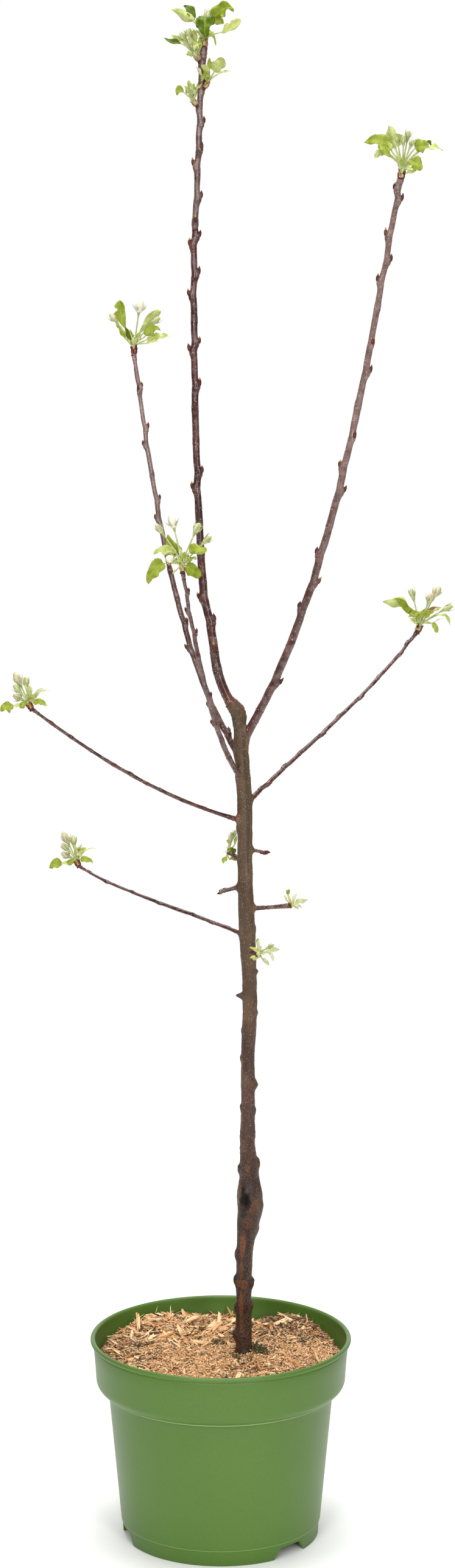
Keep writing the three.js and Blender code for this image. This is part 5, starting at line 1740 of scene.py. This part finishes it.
@dataclass
class NurseryPot:
    """A round moulded pot with a beaded rim, a deep collar and a notched foot ring."""

    sides: int = 192
    height: float = 172.7
    wall: float = 1.6
    rim_radius: float = 110.0
    bead: float = 2.1
    collar_top: float = 107.8
    collar_foot: tuple[float, float] = (105.2, 137.0)
    body_top: tuple[float, float] = (95.0, 128.0)
    body_foot: tuple[float, float] = (84.6, 14.0)
    foot_ring: tuple[float, float, float] = (83.6, 82.8, 3.0)
    floor: tuple[float, float] = (11.0, 13.2)
    notch_headings: tuple[float, ...] = (-45.0, 75.0, 195.0)
    notch: tuple[float, float, float] = (38.0, 22.0, 10.0)
    bend_turn: float = 62.0
    # Height and half-width of the bands with painted edge highlights: the foot ring's top edge and the
    # collar's lower edge.
    highlight_lines: tuple[tuple[float, float], ...] = ((13.4, 0.3), (128.55, 0.55))
    sharp_from: float = 48.0

    def bend(self, inset: float, steps: int) -> list[tuple[float, float]]:
        """Rounds the collar's foot in towards the body, as a part of an ellipse.

        Args:
            inset: How far inside the wall's outer face.
            steps: How many points.

        Returns:
            Radius and height of each point.
        """
        turns = np.radians(np.linspace(-self.bend_turn, 0, steps))
        (wide, high), body = self.collar_foot, self.body_top[0] + 0.3
        run, rise = wide - self.body_top[0] - 0.3, high - self.body_top[1]
        return [
            (body - inset + run * math.cos(turn), high + rise * math.sin(turn) + 0.3 * inset)
            for turn in turns
        ]

    def profile(self) -> list[tuple[float, float]]:
        """Runs round the pot's wall from the middle of its underside.

        Returns:
            Radius and height of each point.
        """
        ring_top, ring_foot, ring_wide = self.foot_ring
        under, over = self.floor
        top, middle = self.height - self.bead, self.rim_radius - self.bead
        collar, body, foot = self.collar_top, self.body_top[0], self.body_foot[0]
        inside, inner = ring_foot - ring_wide, collar - self.wall
        turns = np.radians(np.linspace(-78, 168, 15))
        bead = [(middle + self.bead * math.cos(t), top + self.bead * math.sin(t)) for t in turns]
        bend = self.bend(0.0, 12)
        lip, low = bend[0]
        return [
            (0.01, under), (40.0, under), (inside, under), (inside, 0.4), (inside + 0.4, 0.0),
            (ring_foot - 0.5, 0.0), (ring_foot, 0.5), (ring_top - 0.1, 12.2), (ring_top, 12.9),
            (ring_top + 0.1, 13.3), (foot - 0.12, 13.5), (foot, 13.9), (foot + 0.1, 15.5),
            (foot + 1.9, 35.0), (90.0, 73.0), (94.2, 119.0), (body - 0.1, 126.8),
            (body + 0.2, 127.6), (lip - 1.6, low - 1.1), (lip - 0.5, low - 1.0),
            (lip + 0.1, low - 0.75), (lip + 0.25, low - 0.3), *bend, (106.4, 155.0),
            (collar - 0.2, top - 4.4), (collar - 0.5, top - 3.4), (collar - 0.7, top - 2.9),
            (collar - 0.5, top - 2.4), *bead, (inner + 0.1, top - 2.0), (inner - 0.4, 160.0),
            *reversed(self.bend(self.wall, 8)), (body - self.wall, 127.0), (foot - self.wall, over),
            (0.01, over),
        ]

    def build(self) -> None:
        """Turns the profile, cuts the notches and dresses the pot."""
        rows = np.array(self.profile())
        turn = np.arange(self.sides) / self.sides * 2 * np.pi
        ring = np.stack([np.cos(turn), np.sin(turn), np.zeros(self.sides)], -1)
        radii, heights = rows.T
        is_outside = radii[:-1] > self.foot_ring[1]
        # Outside faces in these bands take the paler finish, as painted edge highlights.
        near_highlight = sum(np.abs(heights[:-1] - height) < half for height, half in self.highlight_lines)
        band = np.where(near_highlight * is_outside > 0, 2, 0)
        band[int(np.argmax(heights)) + 3 :] = 1
        pile = Pile()
        pile.tube(rows[:, None, :1] * ring[None] + rows[:, None, 1:] * UP, band[:, None], (0, 0))
        pot = pile.build("nursery_pot", [GREEN_SHELL, INNER_SHELL, EDGE_HIGHLIGHT_SHELL])
        for heading in self.notch_headings:
            self.cut(pot, heading)
        pot.data.polygons.foreach_set("use_smooth", np.full(len(pot.data.polygons), True))
        pot.data.set_sharp_from_angle(angle=math.radians(self.sharp_from))
        hand_in(pot, "pot_plastic", "pot")

    def cut(self, pot: bpy.types.Object, heading: float) -> None:
        """Cuts one notch out of the foot ring.

        Args:
            pot: The pot.
            heading: Where the notch is.
        """
        wide, narrow, high = self.notch
        out, side = direction(heading), direction(heading + 90)
        outline = [(-wide / 2, -1.0), (wide / 2, -1.0), (narrow / 2, high), (-narrow / 2, high)]
        ends = [
            np.array([out * reach + side * across + UP * up for across, up in outline])
            for reach in (self.foot_ring[1] - 12, self.foot_ring[1] + 12)
        ]
        block = Pile()
        block.tube(np.stack(ends))
        cutter = block.build("notch_cutter", [GREEN_SHELL], False)
        tool = pot.modifiers.new("notch", "BOOLEAN")
        tool.operation, tool.solver, tool.object = "DIFFERENCE", "EXACT", cutter
        graph = bpy.context.evaluated_depsgraph_get()
        cut = bpy.data.meshes.new_from_object(pot.evaluated_get(graph))
        pot.modifiers.clear()
        pot.data = cut
        bpy.data.objects.remove(cutter)


@dataclass(frozen=True)
class MulchPatch:
    """A patch of the mulch: where, how wide, and what share of it is coarse or dark."""

    right: float
    back: float
    spread: float
    coarse: float
    dark: float


def strip_template(cuts: int) -> tuple[Array, Array]:
    """Makes a thin torn strip of wood, one unit long.

    Args:
        cuts: How many cross-sections it has.

    Returns:
        Its points and its triangles.
    """
    points, faces = [], []
    for i in range(cuts):
        x = i / (cuts - 1) - 0.5
        taper = 1 - 0.55 * abs(2 * x) ** 1.5
        edges = ((-0.5, -0.5), (0.5, -0.4), (0.45, 0.5), (-0.5, 0.4))
        points += [(x, across * taper, deep) for across, deep in edges]
    last = (cuts - 1) * 4
    for i in range(0, last, 4):
        for j in range(4):
            a, b = i + j, i + (j + 1) % 4
            faces += [(a, b, b + 4), (a, b + 4, a + 4)]
    faces += [(0, 2, 1), (0, 3, 2), (last, last + 1, last + 2), (last, last + 2, last + 3)]
    return np.array(points), np.array(faces)


def chip_size(numbers: np.random.Generator, coarse: Array) -> tuple:
    """Draws the sizes of flat shavings.

    Args:
        numbers: The seeded source of chance.
        coarse: The coarse share at each place.

    Returns:
        Length, width, depth, lift and tilt.
    """
    count = len(coarse)
    long_ = (3.0 + 9 * numbers.random(count) ** 2) * (0.3 + 1.1 * coarse)
    wide = long_ * (0.12 + 0.24 * numbers.random(count))
    deep, lift = 0.25 + 0.5 * numbers.random(count), 0.2 + 1.6 * numbers.random(count)
    return long_, wide, deep, lift, 14.0


def fibre_size(numbers: np.random.Generator, coarse: Array) -> tuple:
    """Draws the sizes of thin splinters.

    Args:
        numbers: The seeded source of chance.
        coarse: The coarse share at each place.

    Returns:
        Length, width, depth, lift and tilt.
    """
    count = len(coarse)
    long_ = (3.0 + 8 * numbers.random(count) ** 2) * (0.35 + 1.1 * coarse)
    wide, deep = 0.45 + 0.8 * numbers.random(count), 0.3 + 0.3 * numbers.random(count)
    return long_, wide, deep, 0.2 + 1.4 * numbers.random(count), 13.0


def dust_size(numbers: np.random.Generator, coarse: Array) -> tuple:
    """Draws the sizes of sawdust crumbs: length, width, depth, lift and tilt."""
    long_ = 0.9 + 1.8 * numbers.random(len(coarse))
    return long_, long_ * 0.45, long_ * 0.35, 1.5 * numbers.random(len(coarse)) - 0.3, 25.0


@dataclass
class Mulch:
    """Wood shavings, sawdust and humus on the soil."""

    level: float = 156.0
    radius: float = 104.6
    seed: int = 20
    # How many shavings, splinters and crumbs are strewn.
    counts: tuple[int, int, int] = (3200, 6000, 15500)
    bed_sides: int = 160
    bed_floor: tuple[tuple[float, float], ...] = ((104.2, 142.0), (0.02, 142.0))
    # Where the trunk stands, and how far the chips keep off its middle.
    trunk_foot: tuple[float, float] = (19.9, 8.0)
    trunk_clear: float = 7.5
    # Heading, distance, rise and spread of each heap or hollow.
    heaps: tuple = (
        (48, 96, 8, 26), (128, 92, 6, 30), (72, 98, -5, 14), (-60, 60, -2, 30),
        (178, 98, -5, 24), (15, 98, -4, 18),
    )
    patches: tuple = (
        MulchPatch(-40, 50, 42, 1.0, 0.1), MulchPatch(-82, 18, 28, 0.7, 0.75),
        MulchPatch(-25, -15, 38, 0.0, 0.0), MulchPatch(62, 8, 34, 0.0, 0.0),
        MulchPatch(70, 68, 32, 0.6, 1.0), MulchPatch(38, 62, 24, 0.7, 0.9),
        MulchPatch(36, 10, 11, 0.4, 1.0), MulchPatch(24, -52, 22, 0.75, 0.5),
        MulchPatch(-78, -38, 20, 0.5, 0.55), MulchPatch(45, -70, 36, 0.5, 0.15),
        MulchPatch(0, -80, 30, 0.2, 0.05),
    )
    # Right, back, spread and number of blades of each tuft of moss.
    moss: tuple = (
        (33.0, 6.0, 8.0, 120), (31.0, 13.0, 7.0, 50), (-4.0, 26.0, 8.0, 46), (-17.0, 56.0, 6.0, 34),
        (-69.0, 20.0, 5.0, 18), (13.0, -8.0, 8.0, 34), (22.0, -20.0, 6.0, 14), (70.0, 30.0, 3.0, 5),
    )
    # Right, back, length, width, heading and tilt of each large slab of wood.
    slabs: tuple = (
        (-6, 60, 20, 8.0, 62, 12), (-21, 30, 25, 5.5, -28, 3), (-26, 74, 15, 7.0, 15, 22),
        (-71, 52, 17, 3.0, 100, 58), (-48, 40, 16, 4.5, 35, 8), (-55, 68, 13, 5.0, -50, 16),
        (-38, 12, 13, 4.0, -65, 5), (10, 78, 12, 5.0, 60, 18), (28, -60, 17, 3.6, 20, 6),
        (40, -48, 14, 3.0, -40, 8), (14, -66, 15, 3.4, 75, 12), (52, 62, 14, 3.5, 30, 14),
        (80, -18, 13, 1.6, 115, 40), (-88, 8, 14, 3.0, 130, 12),
    )
    tones: tuple = (Wood.PALE, Wood.TAN, Wood.WARM, Wood.GREY, Wood.BROWN, Wood.HUMUS)
    # How often each tone comes where the mulch is light and where it is dark.
    light_chance: tuple = (0.38, 0.31, 0.15, 0.04, 0.07, 0.05)
    dark_chance: tuple = (0.06, 0.12, 0.14, 0.18, 0.26, 0.24)
    numbers: np.random.Generator = field(init=False)

    def __post_init__(self) -> None:
        """Starts the row of seeded numbers."""
        self.numbers = np.random.default_rng(self.seed)

    def height(self, points: Array) -> Array:
        """Finds how high the mulch lies.

        Args:
            points: Rows of right and back.

        Returns:
            The height at each.
        """
        level = np.full(len(points), self.level)
        for heading, distance, rise, spread in self.heaps:
            away = np.linalg.norm(points - direction(heading)[:2] * distance, axis=1)
            level += rise * bell(away, spread)
        flat = np.column_stack([points, np.zeros(len(points))])
        level += 1.3 * lattice_noise(flat / 14, 5) + 0.7 * lattice_noise(flat / 5, 6)
        return level

    def make_up(self, points: Array) -> tuple[Array, Array]:
        """Says how coarse and how dark the mulch is.

        Args:
            points: Rows of right and back.

        Returns:
            The coarse share and the dark share at each.
        """
        weight = np.full(len(points), 0.15)
        coarse, dark = weight * 0.5, weight * 0.3
        for patch in self.patches:
            near = bell(np.hypot(points[:, 0] - patch.right, points[:, 1] - patch.back), patch.spread)
            weight, coarse, dark = weight + near, coarse + near * patch.coarse, dark + near * patch.dark
        return coarse / weight, dark / weight

    def bed(self) -> None:
        """Builds the ground under the chips as a closed block."""
        sides = self.bed_sides
        radii = np.concatenate([[0.02], np.linspace(2.2, self.radius, 64)])
        turn = np.arange(sides) / sides * 2 * np.pi
        ring = np.stack([np.cos(turn), np.sin(turn)], -1)
        flat = (radii[:, None, None] * ring[None]).reshape(-1, 2)
        heights = self.height(flat) - 1.2
        heights += 0.5 * lattice_noise(np.column_stack([flat, flat[:, 0]]) / 1.7, 8)
        top = np.column_stack([flat, heights]).reshape(len(radii), sides, 3)
        skirt = [np.column_stack([ring * r, np.full(sides, z)])[None] for r, z in self.bed_floor]
        coarse, dark = self.make_up(flat[:-sides])
        # The bed turns brown where the mulch is dark, and also where it is coarse, as painted shade in
        # the gaps between coarse chips.
        dark_mulch_and_shade = coarse * 0.7 + dark + 0.25 * lattice_noise(top[:-1].reshape(-1, 3) / 3, 9)
        slots = np.zeros((len(radii) + 1, sides), np.int32)
        slots[:-2] = (dark_mulch_and_shade > 0.5).reshape(-1, sides)
        pile = Pile()
        pile.tube(np.concatenate([top, *skirt]), slots, (0, 0))
        pile.hand_in("mulch_bed", (Wood.GROUND, Wood.BROWN), "mulch", "soil")

    def scatter(self, pile: Pile, count: int, cuts: int, size: Callable) -> None:
        """Strews torn strips of wood over the mulch.

        Args:
            pile: Where they go.
            count: How many.
            cuts: How many cross-sections a strip has.
            size: Gives lengths, widths, depths, lift and tilt from chance and the coarse share.
        """
        template, faces = strip_template(cuts)
        numbers = self.numbers
        reach = (self.radius - 2.5) * np.sqrt(numbers.random(count))
        turn = numbers.random(count) * 2 * np.pi
        place = np.column_stack([reach * np.cos(turn), reach * np.sin(turn)])
        coarse, dark = self.make_up(place)
        long_, wide, deep, lift, tilt = size(numbers, coarse)
        keep = np.hypot(*(place - self.trunk_foot).T) > self.trunk_clear
        yaw = numbers.random(count) * 2 * np.pi
        pitch = np.radians(numbers.normal(0, tilt, count))
        roll = np.radians(numbers.normal(0, 28, count))[:, None]
        level = np.cos(pitch)
        along = np.column_stack([np.cos(yaw) * level, np.sin(yaw) * level, np.sin(pitch)])
        side = np.column_stack([-np.sin(yaw), np.cos(yaw), np.zeros(count)])
        face = np.cross(along, side)
        side, face = (
            side * np.cos(roll) + face * np.sin(roll),
            face * np.cos(roll) - side * np.sin(roll),
        )
        height = self.height(place) + lift + 0.35 * long_ * np.abs(np.sin(pitch))
        room = np.sqrt(np.maximum(self.radius**2 - (place**2).sum(1), 0))
        long_ = np.minimum(long_, 1.6 * room + 2)
        sag = numbers.normal(0, 0.07, count)
        arc = sag[:, None] * (template[None, :, 0] ** 2) * long_[:, None]
        jitter = 1 + 0.18 * numbers.standard_normal((count, len(template)))
        points = (
            np.column_stack([place, height])[:, None]
            + along[:, None] * (template[None, :, 0] * long_[:, None] * jitter)[..., None]
            + side[:, None] * (template[None, :, 1] * wide[:, None] * jitter)[..., None]
            + face[:, None] * (template[None, :, 2] * deep[:, None] + arc)[..., None]
        )
        light_chance, dark_chance = np.array(self.light_chance), np.array(self.dark_chance)
        chance = light_chance[None] * (1 - dark[:, None]) + dark_chance[None] * dark[:, None]
        steps = np.cumsum(chance / chance.sum(1, keepdims=True), axis=1)
        tone = np.minimum((numbers.random(count)[:, None] > steps).sum(1), len(self.tones) - 1)
        keep &= np.linalg.norm(points[..., :2], axis=2).max(1) < self.radius - 0.4
        points, tone = points[keep], tone[keep]
        corners = faces[None] + (np.arange(len(points)) * len(template))[:, None, None]
        slots = np.repeat(tone, len(faces))
        pile.add(points.reshape(-1, 3), corners.reshape(-1, faces.shape[1]), slots)

    def build(self) -> None:
        """Builds the bed, the shavings, the fibres and the sawdust."""
        self.bed()
        chips, fibres, crumbs = self.counts
        shavings, dust = Pile(), Pile()
        self.scatter(shavings, chips, 4, chip_size)
        self.scatter(shavings, fibres, 2, fibre_size)
        self.slab(shavings)
        shavings.hand_in("mulch_shavings", self.tones, "mulch", "soil", is_smooth=False)
        self.scatter(dust, crumbs, 2, dust_size)
        dust.hand_in("mulch_sawdust", self.tones, "mulch", "soil", is_smooth=False)
        self.greenery()

    def slab(self, pile: Pile) -> None:
        """Adds the large slabs, each split into splinters that lie side by side.

        Args:
            pile: Where they go.
        """
        template, faces = strip_template(4)
        numbers = self.numbers
        for right, back, long_, wide, heading, tilt in self.slabs:
            along, side = direction(heading, tilt), direction(heading + 90)
            face = np.cross(along, side)
            level = self.height(np.array([[right, back]]))[0]
            middle = np.array([right, back, level + 1.6 + 0.4 * long_ * abs(along[2])])
            splits = max(int(wide / 1.5), 1)
            for i in range(splits):
                aside = ((i + 0.5) / splits - 0.5) * wide
                length = long_ * numbers.uniform(0.75, 1.0)
                at = middle + side * aside + along * numbers.uniform(-0.1, 0.1) * long_
                at = at + face * numbers.uniform(-0.5, 0.5)
                points = at + template[:, :1] * along * length
                points = points + template[:, 1:2] * side * wide / splits * 1.25
                points = points + template[:, 2:] * face * numbers.uniform(0.9, 1.6)
                tone = int(numbers.random() < 0.3)
                pile.add(points + 0.15 * numbers.standard_normal(points.shape), faces, tone)

    def greenery(self) -> None:
        """Adds the sprig of moss by the trunk's foot and a few green bits."""
        pile, numbers = Pile(), self.numbers
        for right, back, spread, count in self.moss:
            for _ in range(count):
                place = np.array([[right, back]]) + numbers.normal(0, spread / 2, (1, 2))
                foot = np.array([*place[0], self.height(place)[0] - 0.5])
                lean = direction(numbers.uniform(0, 360), numbers.uniform(20, 75))
                long_ = numbers.uniform(3.0, 7.5)
                path = bezier([foot, foot + UP * long_ * 0.6, foot + lean * long_], 5)
                rings = ring_points(path, np.array([0.3, 0.5, 0.55, 0.35, 0.05]), 3)
                pile.tube(rings, int(numbers.random() < 0.3))
        pile.hand_in("moss_and_green_bits", (Wood.MOSS, Wood.BROWN), "mulch", "soil")


# ---------- studio


@dataclass
class Studio:
    """The pale floor, the soft lights and the camera."""

    camera_place: tuple[float, float, float] = (-0.00358, -3.01555, 1.189)
    camera_pitch: float = 79.74
    lens_mm: float = 85.16
    film_mm: float = 36.0
    floor_radius: float = 1.7
    floor_sides: int = 96
    # How much light the sky sheds; the camera sees it white.
    sky_light: float = 0.32
    # Name, place, aim, width and height, and watts of each soft box.
    lamps: tuple = (
        ("key_left", (-1.1, -3.4, 1.9), (0, 0, 0.6), (1.1, 2.0), 60),
        ("fill_right", (1.3, -3.1, 1.5), (0, 0, 0.6), (0.8, 2.2), 41),
        ("strip_front", (0.1, -3.6, 2.3), (0, 0, 0.7), (0.2, 1.6), 16),
        ("top", (0.0, 0.1, 3.2), (0, 0, 0.2), (2.0, 2.0), 90),
        ("back_wall", (0.0, 5.6, 2.0), (0, 0, 1.3), (9.0, 4.4), 132),
    )

    def floor(self) -> None:
        """Lays the pale round floor."""
        turns = np.linspace(0, 2 * np.pi, self.floor_sides, endpoint=False)
        ring = np.stack([np.cos(turns), np.sin(turns), 0 * turns], axis=1) * self.floor_radius
        mesh = bpy.data.meshes.new("studio_floor")
        mesh.from_pydata(ring.tolist(), [], [tuple(range(self.floor_sides))])
        mesh.materials.append(STUDIO_PAPER.material())
        made = bpy.data.objects.new("studio_floor", mesh)
        bpy.context.scene.collection.objects.link(made)

    def lamp(self, name: str, place: tuple, aim: tuple, size: tuple, watts: float) -> None:
        """Hangs one soft box.

        Args:
            name: Its name.
            place: Where it hangs.
            aim: What it looks at.
            size: Its width and height.
            watts: Its power.
        """
        data = bpy.data.lights.new(name, "AREA")
        data.shape, data.energy = "RECTANGLE", watts
        data.size, data.size_y = size
        made = bpy.data.objects.new(name, data)
        made.location = place
        look = Vector(aim) - Vector(place)
        made.rotation_euler = look.to_track_quat("-Z", "Y").to_euler()
        bpy.context.scene.collection.objects.link(made)

    def sky(self) -> bpy.types.World:
        """Makes an even sky that looks white but sheds less light.

        Returns:
            The world.
        """
        world = bpy.data.worlds.new("even_white")
        world.use_nodes = True
        tree = world.node_tree
        seen = add_node(tree, "ShaderNodeLightPath").outputs["Is Camera Ray"]
        shares = {"Value": seen, "To Min": self.sky_light, "To Max": 1.0}
        strength = add_node(tree, "ShaderNodeMapRange", shares).outputs[0]
        fill(tree, tree.nodes["Background"], {"Color": linear("#ffffff"), "Strength": strength})
        return world

    def build(self) -> None:
        """Sets up the floor, the lights, the sky and the camera."""
        self.floor()
        for row in self.lamps:
            self.lamp(*row)
        scene = bpy.context.scene
        scene.world = self.sky()
        scene.view_settings.view_transform = "Standard"
        data = bpy.data.cameras.new("camera")
        data.sensor_fit, data.sensor_height = "VERTICAL", self.film_mm
        data.lens, data.clip_end = self.lens_mm, 100
        camera = bpy.data.objects.new("camera", data)
        camera.location = self.camera_place
        camera.rotation_euler = (math.radians(self.camera_pitch), 0, 0)
        scene.collection.objects.link(camera)
        scene.camera = camera


def main() -> None:
    """Builds the studio and the tree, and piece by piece."""
    logging.basicConfig(level=logging.INFO, format="%(message)s")
    Studio().build()
    NurseryPot().build()
    Mulch().build()
    wood = Woodwork()
    wood.build()
    Foliage(wood).build()
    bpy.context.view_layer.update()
    LOG.info("sizes written")


if __name__ == "__main__":
    main()
